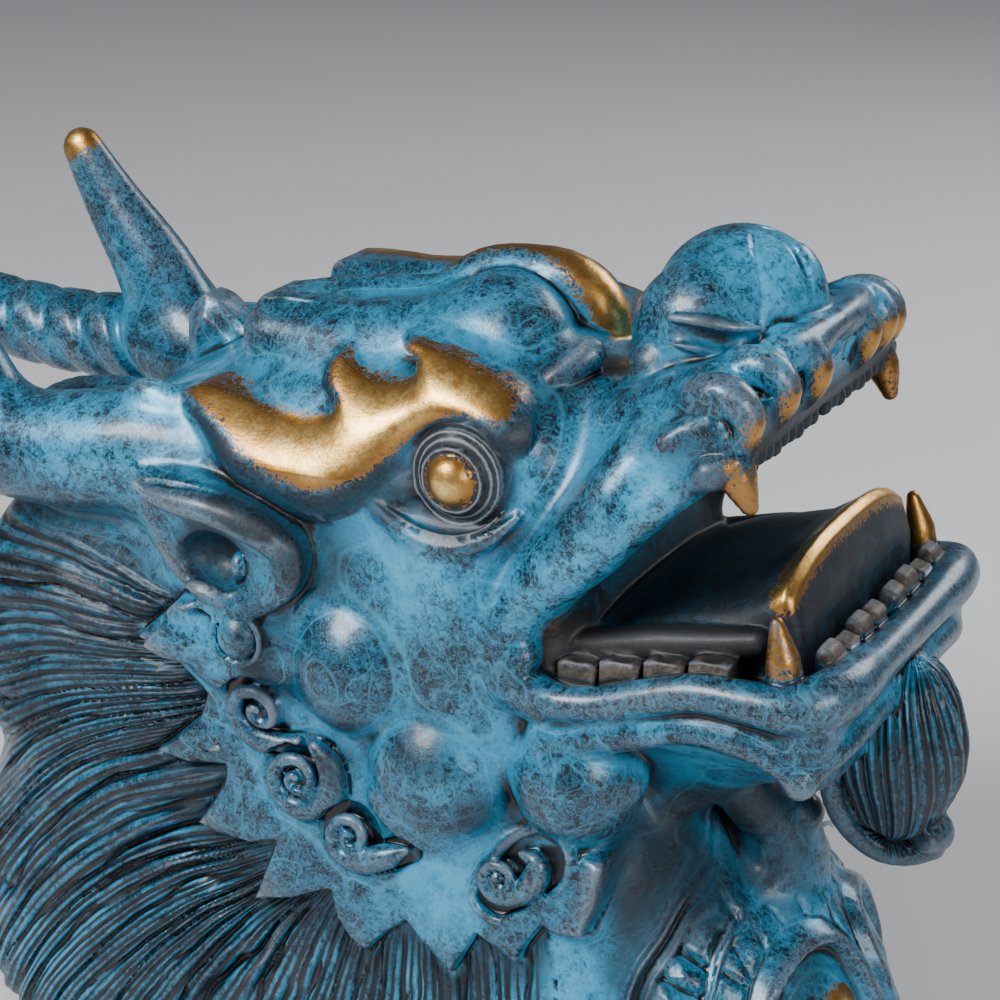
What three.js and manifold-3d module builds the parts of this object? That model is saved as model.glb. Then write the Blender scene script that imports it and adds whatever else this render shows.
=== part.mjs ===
// Guardian beast bust: the horned, open-mouthed head, mane and armoured chest of a cast copper
// guardian statue, cut flat below. One casting, so one closed solid.
// Millimetres, +Z up, snout towards +X. Every place below is given in the head's own frame:
// X forward, Y to the beast's left (the right half has negative Y), Z up from the middle of the
// cheeks. The solid is moved at the end, so that the origin lies under its middle, on its underside.
import * as THREE from 'three';
import { mergeVertices } from 'three/addons/utils/BufferGeometryUtils.js';
import Module from 'manifold-3d';

const wasm = await Module();
wasm.setup();

// Driving dimensions
const undersideZ = -95;
const cheekHalfWidth = 38;
const jawHalfWidth = 30;
const maneHalfWidth = 33;
const hornY = -26.5;
const fangY = -27;
const lipFrontX = 64;
const palateSlope = THREE.MathUtils.degToRad(44);
const mouthCorner = [21, -6.5];
const copperColour = 0x2f7f9d;

// One round or oval mass
function ball(centre, radii, sides = 9) {
  const geometry = new THREE.SphereGeometry(1, sides, Math.round(sides * 0.65));
  geometry.scale(...radii);
  geometry.translate(...centre);
  return geometry;
}

// A value read along a list of evenly spaced stops
function between(stops, t) {
  const place = t * (stops.length - 1);
  const first = Math.min(Math.floor(place), stops.length - 2);
  return THREE.MathUtils.lerp(stops[first], stops[first + 1], place - first);
}

// A lock, horn or roll: a sphere's rings carried along a curve, each at its own girth.
// girths are half widths along the curve, flat is thickness over width, wide the width's direction.
function lock(points, girths, { sides = 6, steps = 6, flat = 1, wide = [0, 0, 1] } = {}) {
  const curve = new THREE.CatmullRomCurve3(points.map((point) => new THREE.Vector3(...point)));
  const geometry = new THREE.SphereGeometry(1, sides, steps);
  const place = geometry.attributes.position;
  const across = new THREE.Vector3();
  const through = new THREE.Vector3();
  for (let i = 0; i < place.count; i += 1) {
    const turn = Math.acos(THREE.MathUtils.clamp(place.getY(i), -1, 1));
    const t = (1 - Math.cos(turn)) / 2;
    const ring = Math.max(Math.hypot(place.getX(i), place.getZ(i)), 1e-9);
    const girth = between(girths, t) * Math.sqrt(Math.max(Math.sin(turn), 0));
    const along = curve.getTangentAt(t);
    across.set(...wide).addScaledVector(along, -along.dot(across.set(...wide))).normalize();
    through.crossVectors(along, across);
    const point = curve.getPointAt(t);
    point.addScaledVector(across, (girth * place.getX(i)) / ring);
    point.addScaledVector(through, (girth * flat * place.getZ(i)) / ring);
    place.setXYZ(i, point.x, point.y, point.z);
  }
  return geometry;
}

// A plate seen from the side: an outline of X and Z, thick from backY out to frontY
function plate(outline, backY, frontY, bevel = 1, bend = null) {
  const shape = new THREE.Shape(outline.map(([x, z]) => new THREE.Vector2(x, z)));
  const thick = Math.abs(frontY - backY) - 2 * bevel;
  const geometry = new THREE.ExtrudeGeometry(shape, {
    depth: thick, bevelThickness: bevel, bevelSize: bevel, bevelOffset: -bevel, bevelSegments: 1,
    curveSegments: 4,
  });
  geometry.rotateX(Math.PI / 2);
  geometry.translate(0, Math.max(frontY, backY) - bevel, 0);
  if (bend) {
    const place = geometry.attributes.position;
    for (let i = 0; i < place.count; i += 1) {
      place.setY(i, bend(place.getX(i), place.getY(i), place.getZ(i)));
    }
  }
  return geometry;
}

// The smooth skin round several oval masses, found outwards from one centre. Past about wallY the
// masses are pressed flat, because the sides of the head and neck are nearly upright walls.
function blend(centre, masses, detail, softness, wallY) {
  const geometry = new THREE.IcosahedronGeometry(1, detail);
  const place = geometry.attributes.position;
  const direction = new THREE.Vector3();
  const point = new THREE.Vector3();
  const depthAt = () => {
    let total = 0;
    for (const [[x, y, z], [a, b, c]] of masses) {
      const reach = Math.hypot((point.x - x) / a, (point.y - y) / b, (point.z - z) / c);
      total += Math.exp((-(reach - 1) * Math.min(a, b, c)) / softness);
    }
    return -softness * Math.log(total);
  };
  for (let i = 0; i < place.count; i += 1) {
    direction.fromBufferAttribute(place, i).normalize();
    let near = 1;
    let far = 150;
    for (let halving = 0; halving < 22; halving += 1) {
      const middle = (near + far) / 2;
      point.set(...centre).addScaledVector(direction, middle);
      if (depthAt() < 0) near = middle; else far = middle;
    }
    point.set(...centre).addScaledVector(direction, near);
    const pressed = point.y / (1 + Math.abs(point.y / wallY) ** 4) ** 0.25;
    place.setXYZ(i, point.x, pressed, point.z);
  }
  return geometry;
}

// Geometry to solid, and back
function solid(geometry) {
  geometry.deleteAttribute('normal');
  geometry.deleteAttribute('uv');
  const merged = mergeVertices(geometry, 1e-4);
  const mesh = new wasm.Mesh({
    numProp: 3,
    vertProperties: new Float32Array(merged.attributes.position.array),
    triVerts: new Uint32Array(merged.index.array),
  });
  return new wasm.Manifold(mesh);
}

function surface(body) {
  const mesh = body.getMesh();
  const geometry = new THREE.BufferGeometry();
  geometry.setAttribute('position', new THREE.BufferAttribute(mesh.vertProperties, 3));
  geometry.setIndex(new THREE.BufferAttribute(mesh.triVerts, 1));
  return geometry;
}

function joined(geometries) {
  return geometries.map(solid).reduce((whole, piece) => whole.add(piece));
}

// The other half of the head: Y changes sign and each face is turned round
function mirrored(body) {
  const geometry = surface(body);
  geometry.scale(1, -1, 1);
  const corners = geometry.index.array;
  for (let i = 0; i < corners.length; i += 3) {
    [corners[i], corners[i + 1]] = [corners[i + 1], corners[i]];
  }
  return solid(geometry);
}

// Skull, neck, mane and chest
const headMasses = [
  [[-8, 0, 9], [34, 36, 23]],
  [[4, 0, -12], [28, 44, 26]],
  [[-36, 0, 4], [24, 38, 15]],
  [[14, 0, 12], [16, 32, 17]],
  [[-24, 0, -12], [22, 46, 20]],
];
const neckMasses = [
  [[-52, 0, -28], [37, 46, 34]],
  [[-50, 0, -76], [42, 42, 42]],
  [[-2, 0, -62], [40, 44, 42]],
  [[-14, 0, -36], [28, 50, 28]],
  [[10, 0, -50], [29, 48, 26]],
];
const chestCentre = [24, 0, -84];
const chestRadii = [42, 35, 42];

function trunkSolids() {
  return [
    blend([-6, 0, 2], headMasses, 4, 3, cheekHalfWidth),
    blend([-30, 0, -50], neckMasses, 3, 4, maneHalfWidth),
    ball(chestCentre, chestRadii, 14),
  ];
}

// Upper jaw: a side outline along the palate's slope, narrower towards the bridge of the nose
function upperJaw() {
  const [cornerX, cornerZ] = mouthCorner;
  const along = (distance, height) => [
    cornerX + distance * Math.cos(palateSlope) - height * Math.sin(palateSlope),
    cornerZ + distance * Math.sin(palateSlope) + height * Math.cos(palateSlope),
  ];
  const outline = [
    [8, -6], along(-3, 0), along(0, 0.5), along(20, 1), along(38, 1), along(42, 4), along(45, 9),
    along(43, 14), along(36, 17), along(27, 21), along(21, 24), [8, 24],
  ];
  const narrow = (x, y, z) => {
    const height = -(x - cornerX) * Math.sin(palateSlope) + (z - cornerZ) * Math.cos(palateSlope);
    return y * (1 - 0.5 * THREE.MathUtils.smoothstep(height, 6, 26));
  };
  return plate(outline, jawHalfWidth, -jawHalfWidth, 3, narrow);
}

// Lower jaw and chin, narrower towards the throat
function lowerJaw() {
  const outline = [
    [6, -4], [18, -9], [24, -14.5], [38, -11.5], [48, -9.5], [60, -9], [lipFrontX + 0.5, -10],
    [lipFrontX, -16], [60, -22], [50, -28], [40, -36], [30, -44], [6, -36],
  ];
  const narrow = (x, y, z) => y * (1 - 0.45 * THREE.MathUtils.smoothstep(-z, 15, 34));
  return plate(outline, jawHalfWidth, -jawHalfWidth, 3, narrow);
}

// The lip that runs from the far corner of the mouth, down and round the front of the jaw
function lowerLip() {
  const nearHalf = [
    [22, -31.5, 2], [18, -33, -4], [18.5, -33.5, -11], [24, -33, -14.6], [31, -32.5, -14.2],
    [38, -32, -11.6], [46, -31.5, -9.4], [53, -31, -9.6], [59, -30, -10], [63, -26, -8.5],
    [lipFrontX, -14, -8.5],
  ];
  const farHalf = nearHalf.map(([x, y, z]) => [x, -y, z]).reverse();
  const route = [...nearHalf, [lipFrontX, 0, -8.7], ...farHalf];
  return lock(route, [2, 2.8, 2.8, 2.9, 2.9, 2.9, 2.8, 2.8, 2], { sides: 5, steps: 22 });
}

function mouthInside() {
  const tongueOutline = [[18, -12], [36, -6.5], [48, -3.6], [52.5, 0.6], [55.2, 2.2], [55, -3], [48, -12]];
  const pieces = [plate(tongueOutline, 22, -22, 1.2)];
  for (let row = -2; row <= 2; row += 1) {
    const lower = new THREE.BoxGeometry(2.8, 9, 9);
    lower.translate(60.4, row * 10.2, -5.2);
    const upper = new THREE.BoxGeometry(2.4, 8.6, 7);
    upper.translate(49.4, row * 10, 23.2);
    pieces.push(lower, upper);
  }
  return pieces;
}

// Nose: two wings, a lobe between them and the roll of each nostril
function nose() {
  return [ball([43.6, 0, 35.5], [7.6, 6.6, 11.2], 10), ball([36, 0, 32], [14, 12, 10], 9)];
}

function nearNose() {
  return [
    ball([35.5, -8.5, 35.6], [12.3, 9.5, 12], 10),
    ball([30.5, -14, 29.3], [5.2, 4.5, 5.2], 7),
    lock([[26, -16, 27], [34, -18, 27.5], [42, -18, 31], [49, -16, 33]], [2.4, 3.2, 3.2, 2.4], { steps: 6 }),
  ];
}

// The gilded scallops of the upper lip, and the fangs
function nearLipAndFangs() {
  const scallops = [-29, -17.5, -6].map((y) => (
    lock([[42, y, 31], [48, y, 31.5], [51.6, y, 28.6], [50.8, y, 25.4]], [3, 3.6, 2.6, 0.9],
      { sides: 5, steps: 4, wide: [0, 1, 0] })
  ));
  return [
    ...scallops,
    lock([[23, -31, 0], [33, -31, 10], [42, -30, 18], [48, -29, 24]], [2.2, 3.4, 3.6, 3], { sides: 5, steps: 5 }),
    lock([[47, fangY, 24], [49.6, fangY, 19.5], [50.6, fangY, 15.4]], [3.2, 2.7, 0.8], { sides: 5, steps: 4 }),
    lock([[58, fangY, -13], [56.4, fangY, -2.6], [54.8, fangY, 2.4]], [3, 2.3, 0.6], { sides: 5, steps: 4 }),
  ];
}

function nearMolars() {
  return [27.5, 33.8, 40.2, 46.6].map((x, index) => {
    const tooth = new THREE.BoxGeometry(5.6, 4.4, 8);
    tooth.rotateY(-0.22);
    tooth.translate(x, -27.5, -11.5 + index * 1.25);
    return tooth;
  });
}

// Lower cheek roll with its cusp at the corner of the chin
function nearChinRoll() {
  return lock(
    [[24, -30, -21], [35, -30, -17.6], [46, -29.5, -15], [54, -29.5, -15.8], [60, -28, -20.5]],
    [4, 3.2, 2.4, 3, 1.6],
    { steps: 7 },
  );
}

// Cheek balls
function nearCheeks() {
  const outY = -cheekHalfWidth;
  return [
    ball([-7.5, outY + 12, -16.5], [12, 12, 12], 9),
    ball([6, outY + 12, -30.5], [12, 12, 12], 9),
    ball([26, outY + 12, -28], [9.8, 10.5, 9.8], 8),
  ];
}

// Brow: the dark roll over the eye and the flame-shaped gilded plate on it
const browOutline = [
  [-37, 19.6], [-29, 20.2], [-20, 18.6], [-15.4, 19.6], [-15.8, 24.3], [-12.3, 27.8], [-8, 26],
  [-3.4, 27], [-1.8, 30.8], [5, 31], [11.3, 29.2], [16.8, 26.6], [19.4, 23.4], [13.2, 22.8],
  [7.1, 19.8], [2.3, 15.8], [-2.5, 12], [-10.7, 9.9], [-20.4, 10], [-26.4, 14.4], [-31.5, 18],
];

function nearBrow() {
  const rollRoute = [
    [-37, -27, 17.5], [-28, -29, 12], [-18, -30, 8.6], [-6, -30.5, 9.4], [3, -30, 15], [11, -29, 21.5],
    [20, -27, 24],
  ];
  const lean = (x, y, z) => y + 0.5 * Math.max(z - 14, 0);
  return [
    lock(rollRoute, [1.5, 3.6, 4.6, 4.6, 4.2, 4.4, 3.4], { steps: 8 }),
    plate(browOutline, -22, -34.6, 0.8, lean),
  ];
}

function nearEye() {
  return [
    ball([10, -29.5, 15.4], [6.6, 5.2, 6.6], 9),
    ball([10.2, -33, 15.6], [3.9, 2.8, 3.9], 8),
    lock([[-4, -30.5, 8.8], [3, -32.6, 7.6], [10, -33.2, 7.6], [17.5, -31.5, 11.5]], [1, 1.9, 2.1, 1.2],
      { steps: 6 }),
  ];
}

// Ear: a pointed leaf with a rolled upper edge and a hollow
const earOutline = [
  [-40, 8.6], [-33, 9.9], [-25, 9.4], [-17.5, 6.2], [-14.5, 0], [-16.5, -5], [-22, -8.6], [-30, -8.4],
  [-37, -4.6], [-39.6, 1.5],
];

function nearEar() {
  return [
    plate(earOutline, -26, -37, 1.6),
    lock([[-41, -37.2, 8.4], [-34, -37.6, 8], [-26, -37.8, 7.2], [-19, -37, 3.6], [-15.5, -35.5, -1]],
      [0.9, 1.7, 1.9, 1.9, 1.2], { sides: 5, steps: 7 }),
  ];
}

function nearEarHollow() {
  return ball([-25.4, -38.6, -0.4], [6.6, 5.4, 3.6], 8);
}

// Curls on an arc round the cheek, each a spiral roll of about one and a half turns
const curls = [
  { centre: [-24, -33.2, -14.2], size: 5.4, start: 0.6 },
  { centre: [-21.2, -33.4, -26.4], size: 6, start: 0.2 },
  { centre: [-15.6, -33.4, -36.8], size: 5.7, start: -0.2 },
  { centre: [-7.2, -33, -44], size: 5.7, start: -0.6 },
  { centre: [17.4, -30.2, -45], size: 6.2, start: -1.4 },
];

function curl({ centre: [x, y, z], size, start }) {
  const turns = 1.5;
  const route = [];
  for (let i = 0; i <= 9; i += 1) {
    const t = i / 9;
    const angle = start + 2 * Math.PI * turns * t;
    const reach = size * (0.76 - 0.66 * t);
    route.push([x + reach * Math.cos(angle), y + 0.8 - 2.2 * t, z + reach * Math.sin(angle)]);
  }
  return lock(route, [size * 0.34, size * 0.38, size * 0.3], { sides: 4, steps: 9, wide: [0, 1, 0] });
}

// Flame leaves that stand out beyond the curls
const leaves = [
  { root: [-27, -16], tip: [-45, -19], girth: 5 },
  { root: [-26, -30], tip: [-43, -37.5], girth: 5 },
  { root: [-20, -40], tip: [-34.5, -47.5], girth: 5 },
  { root: [-12, -47], tip: [-25.5, -59], girth: 5.4 },
  { root: [-3, -48], tip: [-8, -59.5], girth: 5 },
  { root: [7, -49], tip: [3, -59], girth: 4.6 },
  { root: [17, -49], tip: [14, -57.5], girth: 4.4 },
  { root: [27, -37], tip: [24, -55], girth: 4.6 },
];

function leaf({ root, tip, girth }) {
  const middle = [(root[0] + tip[0]) / 2 + 1.5, (root[1] + tip[1]) / 2 + 1.5];
  return lock(
    [[root[0], -30, root[1]], [middle[0], -31.4, middle[1]], [tip[0], -32.4, tip[1]]],
    [girth, girth * 0.8, 0.7],
    { sides: 4, steps: 3, flat: 0.62 },
  );
}

// Mane: locks that leave the leaves radially and lie back, fanning out to the edge of the neck
const maneLocks = 9;

function maneLock(index) {
  const t = index / (maneLocks - 1);
  const rootAngle = THREE.MathUtils.lerp(3.04, 4.5, t);
  const tipAngle = THREE.MathUtils.lerp(2.6, 4.58, t);
  const root = [2 + 46 * Math.cos(rootAngle), -12 + 46 * Math.sin(rootAngle)];
  const tip = [-32 + 62 * Math.cos(tipAngle), -38 + 66 * Math.sin(tipAngle)];
  const bend = [root[0] + 22 * Math.cos(rootAngle), root[1] + 22 * Math.sin(rootAngle)];
  const route = [
    [root[0], -29.6, root[1]],
    [(root[0] + 2 * bend[0] + tip[0]) / 4, -30.6, (root[1] + 2 * bend[1] + tip[1]) / 4],
    [tip[0], -24, tip[1]],
  ];
  return lock(route, [3.4, 5.2, 6.2, 5.2, 2], { sides: 4, steps: 4, flat: 0.75 });
}

function neckLock(index) {
  const x = -12 + index * 13;
  return lock([[x, -28.6, -55], [x - 3, -29.8, -74], [x - 2, -29, -100]], [3.4, 6.6, 6],
    { sides: 4, steps: 3, flat: 0.7 });
}

// Antler: a beam that runs back from the brow, with one tine, and turns up at its end
function nearHorn() {
  const beam = [
    [-26, -20, 7], [-42, -24, 8.8], [-60, hornY, 6.6], [-80, hornY, 6.2], [-104, hornY, 6],
    [-120, hornY, 8.6], [-131, hornY + 1, 17], [-135, hornY + 2, 27],
  ];
  return [
    lock(beam, [9, 9.6, 9, 8, 7.4, 7, 5.8, 4], { sides: 8, steps: 10, wide: [0, 1, 0] }),
    lock([[-74, hornY, 8], [-80, hornY, 19], [-88, hornY, 30], [-93.5, hornY, 38.5]], [8.8, 8, 6, 4.6],
      { sides: 7, steps: 5, wide: [0, 1, 0] }),
  ];
}

// Forehead: a crest between two bulging locks whose tails lie back over the skull
function foreheadCentre() {
  return [
    lock([[-12, 0, 28], [-2, 0, 33.5], [9, 0, 35.4], [16.5, 0, 31], [18.4, 0, 24]], [3.5, 5, 5, 4.5, 2.6],
      { steps: 8 }),
    lock([[-38, 0, 12], [-45, 0, 19], [-51, 0, 25.6]], [10, 8, 1], { steps: 7, wide: [0, 1, 0] }),
    lock([[-52, 0, 0], [-66, 0, 5], [-80, 0, 5], [-88, 0, 1]], [8, 7, 5, 3], { steps: 8, wide: [0, 1, 0] }),
  ];
}

function nearForehead() {
  return [
    ball([8, -8.5, 29.2], [10.6, 9.6, 9.4], 10),
    lock([[6, -9.5, 29], [-8, -12, 27.6], [-24, -13, 27], [-36, -13.5, 26.5]], [8, 7, 5.2, 3.6],
      { sides: 6, steps: 6 }),
    lock([[13, -16, 24], [18, -15.5, 27], [22, -14, 30]], [3, 3.4, 2], { steps: 6 }),
  ];
}

// Beard: a plump leaf-shaped tuft under the chin, its tip curled forward
function beard() {
  return [
    lock([[61, 0, -11], [64, 0, -20], [62.5, 0, -31], [63, 0, -40], [67.5, 0, -42.6], [70.6, 0, -40]],
      [6, 9, 9, 6, 3.4, 2.4], { sides: 10, steps: 9, wide: [0, 1, 0] }),
  ];
}

// Chest plates: a bib on the chest ball, in raised bands that follow its curve
function chestBands() {
  const [x, y, z] = chestCentre;
  const skin = (lift) => solid(ball([x, y, z], chestRadii.map((radius) => radius + lift), 14));
  const bibOutline = [[-15, -40], [15, -40], [24, -66], [29, -100], [-29, -100], [-24, -66]];
  const bibShape = new THREE.Shape(bibOutline.map(([across, up]) => new THREE.Vector2(across, up)));
  const bib = new THREE.ExtrudeGeometry(bibShape, { depth: 80, bevelEnabled: false });
  bib.rotateX(Math.PI / 2);
  bib.rotateZ(Math.PI / 2);
  bib.translate(16, 0, 0);
  const bibSolid = solid(bib);
  let bands = skin(0.9).intersect(bibSolid);
  for (const [top, height] of [[-46, 12], [-62, 13], [-79, 18]]) {
    const slab = new THREE.BoxGeometry(90, 54, height);
    slab.translate(x + 40, 0, top - height / 2);
    bands = bands.add(skin(2.2).intersect(bibSolid).intersect(solid(slab)));
  }
  return bands;
}

function nearHalf() {
  const mane = Array.from({ length: maneLocks }, (unused, index) => maneLock(index));
  const neckHair = Array.from({ length: 3 }, (unused, index) => neckLock(index));
  return joined([
    ...nearNose(), ...nearLipAndFangs(), ...nearMolars(), nearChinRoll(), ...nearCheeks(), ...nearBrow(),
    ...nearEye(), ...nearEar(), ...curls.map(curl), ...leaves.map(leaf), ...mane, ...neckHair,
    ...nearHorn(), ...nearForehead(),
  ]);
}

function nearHollows() {
  return joined([nearEarHollow(), ball([38.5, -18.5, 35], [4.6, 2.6, 1.2], 10)]);
}

function guardianBust() {
  const halfBody = nearHalf();
  const middle = joined([
    ...trunkSolids(), upperJaw(), lowerJaw(), lowerLip(), ...mouthInside(), ...nose(), ...foreheadCentre(),
    ...beard(),
  ]);
  let body = middle.add(chestBands()).add(halfBody).add(mirrored(halfBody));
  const hollows = nearHollows();
  body = body.subtract(hollows).subtract(mirrored(hollows));
  const below = new THREE.BoxGeometry(400, 200, 100);
  below.translate(0, 0, undersideZ - 50);
  body = body.subtract(solid(below));
  const geometry = surface(body);
  geometry.computeBoundingBox();
  const { min, max } = geometry.boundingBox;
  geometry.translate(-(min.x + max.x) / 2, 0, -undersideZ);
  return geometry;
}

const copper = new THREE.MeshStandardMaterial({ color: copperColour, roughness: 0.38, metalness: 0.7 });
const bust = new THREE.Mesh(guardianBust(), copper);
bust.name = 'guardian_bust';

const statue = new THREE.Group();
statue.add(bust);

export default statue;
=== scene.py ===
import math
import time

import bpy
import numpy as np
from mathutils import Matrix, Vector


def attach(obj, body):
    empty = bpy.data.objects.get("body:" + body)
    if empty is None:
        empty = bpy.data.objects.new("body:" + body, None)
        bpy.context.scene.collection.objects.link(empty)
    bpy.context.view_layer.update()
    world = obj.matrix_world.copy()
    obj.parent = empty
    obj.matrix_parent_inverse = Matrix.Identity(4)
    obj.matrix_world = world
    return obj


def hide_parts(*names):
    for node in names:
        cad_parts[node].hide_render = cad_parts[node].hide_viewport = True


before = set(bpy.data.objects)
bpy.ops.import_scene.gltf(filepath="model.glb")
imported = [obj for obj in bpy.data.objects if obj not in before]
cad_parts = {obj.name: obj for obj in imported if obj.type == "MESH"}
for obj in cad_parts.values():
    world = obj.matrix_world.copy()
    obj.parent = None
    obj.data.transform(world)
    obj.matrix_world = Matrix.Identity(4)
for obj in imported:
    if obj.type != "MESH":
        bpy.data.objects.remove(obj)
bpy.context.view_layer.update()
started = time.time()


def say(stage):
    print(f"{stage}: {time.time() - started:.1f} s")


# The sculpt is a distance field in millimetres, in the head's own frame: X forward, Z up, and Y=0
# the middle plane. Only the half with negative Y is worked; the other half is its mirror image.
headToRow = (32.189, 0.0, 95.0)
undersideZ = -95.0
voxel = 0.44
far = 40.0
hornEndX, noseEndX, outermostY, topZ = -139.5, 76.5, 44.5, 51
gridX = np.arange(hornEndX, noseEndX, voxel, dtype=np.float32)
gridY = ((np.arange(-int(outermostY / voxel), 1) + 0.5) * voxel).astype(np.float32)
gridZ = np.arange(undersideZ - 2.5 * voxel, topZ, voxel, dtype=np.float32)
field = np.full((len(gridX), len(gridY), len(gridZ)), far, np.float32)


# Distance helpers: softMin joins two forms with a fillet, softMax keeps what both hold
def softMin(a, b, soft):
    near = np.maximum(soft - np.abs(a - b), 0)
    return np.minimum(a, b) - near * near / (4 * soft)


def softMax(a, b, soft):
    return -softMin(-a, -b, soft)


def smooth(value, low, high):
    t = np.clip((value - low) / (high - low), 0, 1)
    return t * t * (3 - 2 * t)


def window(low, high):
    cut = []
    for axis, start, stop in zip((gridX, gridY, gridZ), low, high):
        first = max(int(np.searchsorted(axis, start)) - 1, 0)
        cut.append(slice(first, min(int(np.searchsorted(axis, stop)) + 1, len(axis))))
    return tuple(cut)


def places(cut):
    return (gridX[cut[0]][:, None, None], gridY[cut[1]][None, :, None],
            gridZ[cut[2]][None, None, :])


# A shape is a list of parts, each with its low corner, high corner and distance formula
def measure(shape, cut, reach):
    whole = np.full(field[cut].shape, far, np.float32)
    for low, high, away in shape:
        inner = window(np.subtract(low, reach), np.add(high, reach))
        local = tuple(slice(max(i.start - c.start, 0), max(i.stop - c.start, 0))
                      for i, c in zip(inner, cut))
        if whole[local].size:
            whole[local] = np.minimum(whole[local], away(*places(inner)))
    return whole


def span(shape, reach):
    low = np.min([part[0] for part in shape], axis=0) - reach
    high = np.max([part[1] for part in shape], axis=0) + reach
    return window(low, high)


def add(shape, soft=1.0):
    cut = span(shape, soft + 1.6)
    field[cut] = softMin(field[cut], measure(shape, cut, soft + 1.6), soft)


def carve(shape, soft=0.8):
    cut = span(shape, soft + 1.6)
    field[cut] = softMax(field[cut], -measure(shape, cut, soft + 1.6), soft)


# Distances of one shape at loose points, for the gilding
def awayFrom(shape, points):
    x, y, z = points[:, 0], points[:, 1], points[:, 2]
    return np.min([part[2](x, y, z) for part in shape], axis=0)


# An oval mass. tilt turns it about Y, in degrees, its X axis upwards.
def ball(centre, radii, tilt=0.0):
    cx, cy, cz = centre
    rx, ry, rz = radii
    cosTilt, sinTilt = math.cos(math.radians(tilt)), math.sin(math.radians(tilt))

    def away(x, y, z):
        a = ((x - cx) * cosTilt + (z - cz) * sinTilt) / rx
        b = (y - cy) / ry
        c = ((z - cz) * cosTilt - (x - cx) * sinTilt) / rz
        out = np.sqrt(a * a + b * b + c * c)
        slope = np.sqrt((a / rx) ** 2 + (b / ry) ** 2 + (c / rz) ** 2)
        return out * (out - 1) / np.maximum(slope, 1e-5)

    size = np.array([max(rx, rz), ry, max(rx, rz)]) if tilt else np.array(radii)
    return [(np.array(centre) - size, np.array(centre) + size, away)]


# Points evenly spaced along a centripetal Catmull-Rom curve
def curve(points, count):
    p = np.asarray(points, float)
    p = np.vstack([2 * p[0] - p[1], p, 2 * p[-1] - p[-2]])
    gaps = np.sqrt(np.linalg.norm(np.diff(p, axis=0), axis=1))
    knots = np.concatenate([[0], np.cumsum(gaps)])
    t = np.linspace(knots[1], knots[-2], 12 * len(p))
    i = np.clip(np.searchsorted(knots, t, side="right") - 1, 1, len(p) - 3)

    def mix(a, b, start, stop):
        return ((stop - t) / (stop - start))[:, None] * a + ((t - start) / (stop - start))[:, None] * b

    k0, k1, k2, k3 = (knots[i + j] for j in (-1, 0, 1, 2))
    a1 = mix(p[i - 1], p[i], k0, k1)
    a2 = mix(p[i], p[i + 1], k1, k2)
    a3 = mix(p[i + 1], p[i + 2], k2, k3)
    line = mix(mix(a1, a2, k0, k2), mix(a2, a3, k1, k3), k1, k2)
    run = np.concatenate([[0], np.cumsum(np.linalg.norm(np.diff(line, axis=0), axis=1))])
    even = np.linspace(0, run[-1], count)
    return np.stack([np.interp(even, run, line[:, j]) for j in range(p.shape[1])], 1)


# A roll or lock: round cones along a curve, girths at even stops. flat is its thickness over its
# width, and wide the direction of the width. keel makes the section a diamond.
def tube(points, girths, flat=1.0, wide=(0, 0, 1), step=2.0, keel=False):
    rough = np.linalg.norm(np.diff(np.asarray(points, float), axis=0), axis=1).sum()
    count = max(int(rough / step), 3) + 1
    line = curve(points, count)
    girth = np.interp(np.linspace(0, 1, count), np.linspace(0, 1, len(girths)), girths)
    return [cone(line[i], line[i + 1], girth[i], girth[i + 1], flat, wide, keel)
            for i in range(count - 1)]


# A roll joined on, and a furrow cut in
def roll(points, girths, soft, step=2.0):
    add(tube(points, girths, step=step), soft)


def furrow(points, girths, soft, step=2.0):
    carve(tube(points, girths, step=step), soft)


# A closed ring of X and Z at one depth
def ringLine(x, y, z, reach):
    turn = np.linspace(0, 2 * math.pi, 25)
    return np.stack([x + reach * np.cos(turn), np.full(25, y), z + reach * np.sin(turn)], 1)


def cone(a, b, startGirth, endGirth, flat, wide, keel):
    along = b - a
    square = along @ along
    across = np.array(wide) - along * (along @ np.array(wide)) / square
    across = across / max(np.linalg.norm(across), 1e-6)
    through = np.cross(along / math.sqrt(square), across)

    def away(x, y, z):
        px, py, pz = x - a[0], y - a[1], z - a[2]
        t = np.clip((px * along[0] + py * along[1] + pz * along[2]) / square, 0, 1)
        ox, oy, oz = px - t * along[0], py - t * along[1], pz - t * along[2]
        girth = startGirth + t * (endGirth - startGirth)
        thin = ox * through[0] + oy * through[1] + oz * through[2]
        if keel:
            broad = np.sqrt(np.maximum(ox * ox + oy * oy + oz * oz - thin * thin, 0))
            return (broad * flat + np.abs(thin) - girth * flat) / math.hypot(flat, 1)
        if flat == 1.0:
            return np.sqrt(ox * ox + oy * oy + oz * oz) - girth
        squeeze = 1 / flat ** 2 - 1
        return (np.sqrt(ox * ox + oy * oy + oz * oz + thin * thin * squeeze) - girth) * flat ** 0.5

    size = max(startGirth, endGirth)
    return (np.minimum(a, b) - size, np.maximum(a, b) + size, away)


# Signed distance to a closed outline of X and Z
def outlineAway(outline, x, z):
    best = np.full(np.broadcast(x, z).shape, 1e6)
    inside = np.zeros(best.shape, bool)
    for (ax, az), (bx, bz) in zip(outline, np.roll(outline, -1, axis=0)):
        ex, ez = bx - ax, bz - az
        t = np.clip(((x - ax) * ex + (z - az) * ez) / max(ex * ex + ez * ez, 1e-9), 0, 1)
        best = np.minimum(best, (x - ax - t * ex) ** 2 + (z - az - t * ez) ** 2)
        crosses = (az > z) != (bz > z)
        inside ^= crosses & (x < ax + (z - az) * ex / (ez if abs(ez) > 1e-9 else 1e-9))
    return np.where(inside, -1, 1) * np.sqrt(best)


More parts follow.
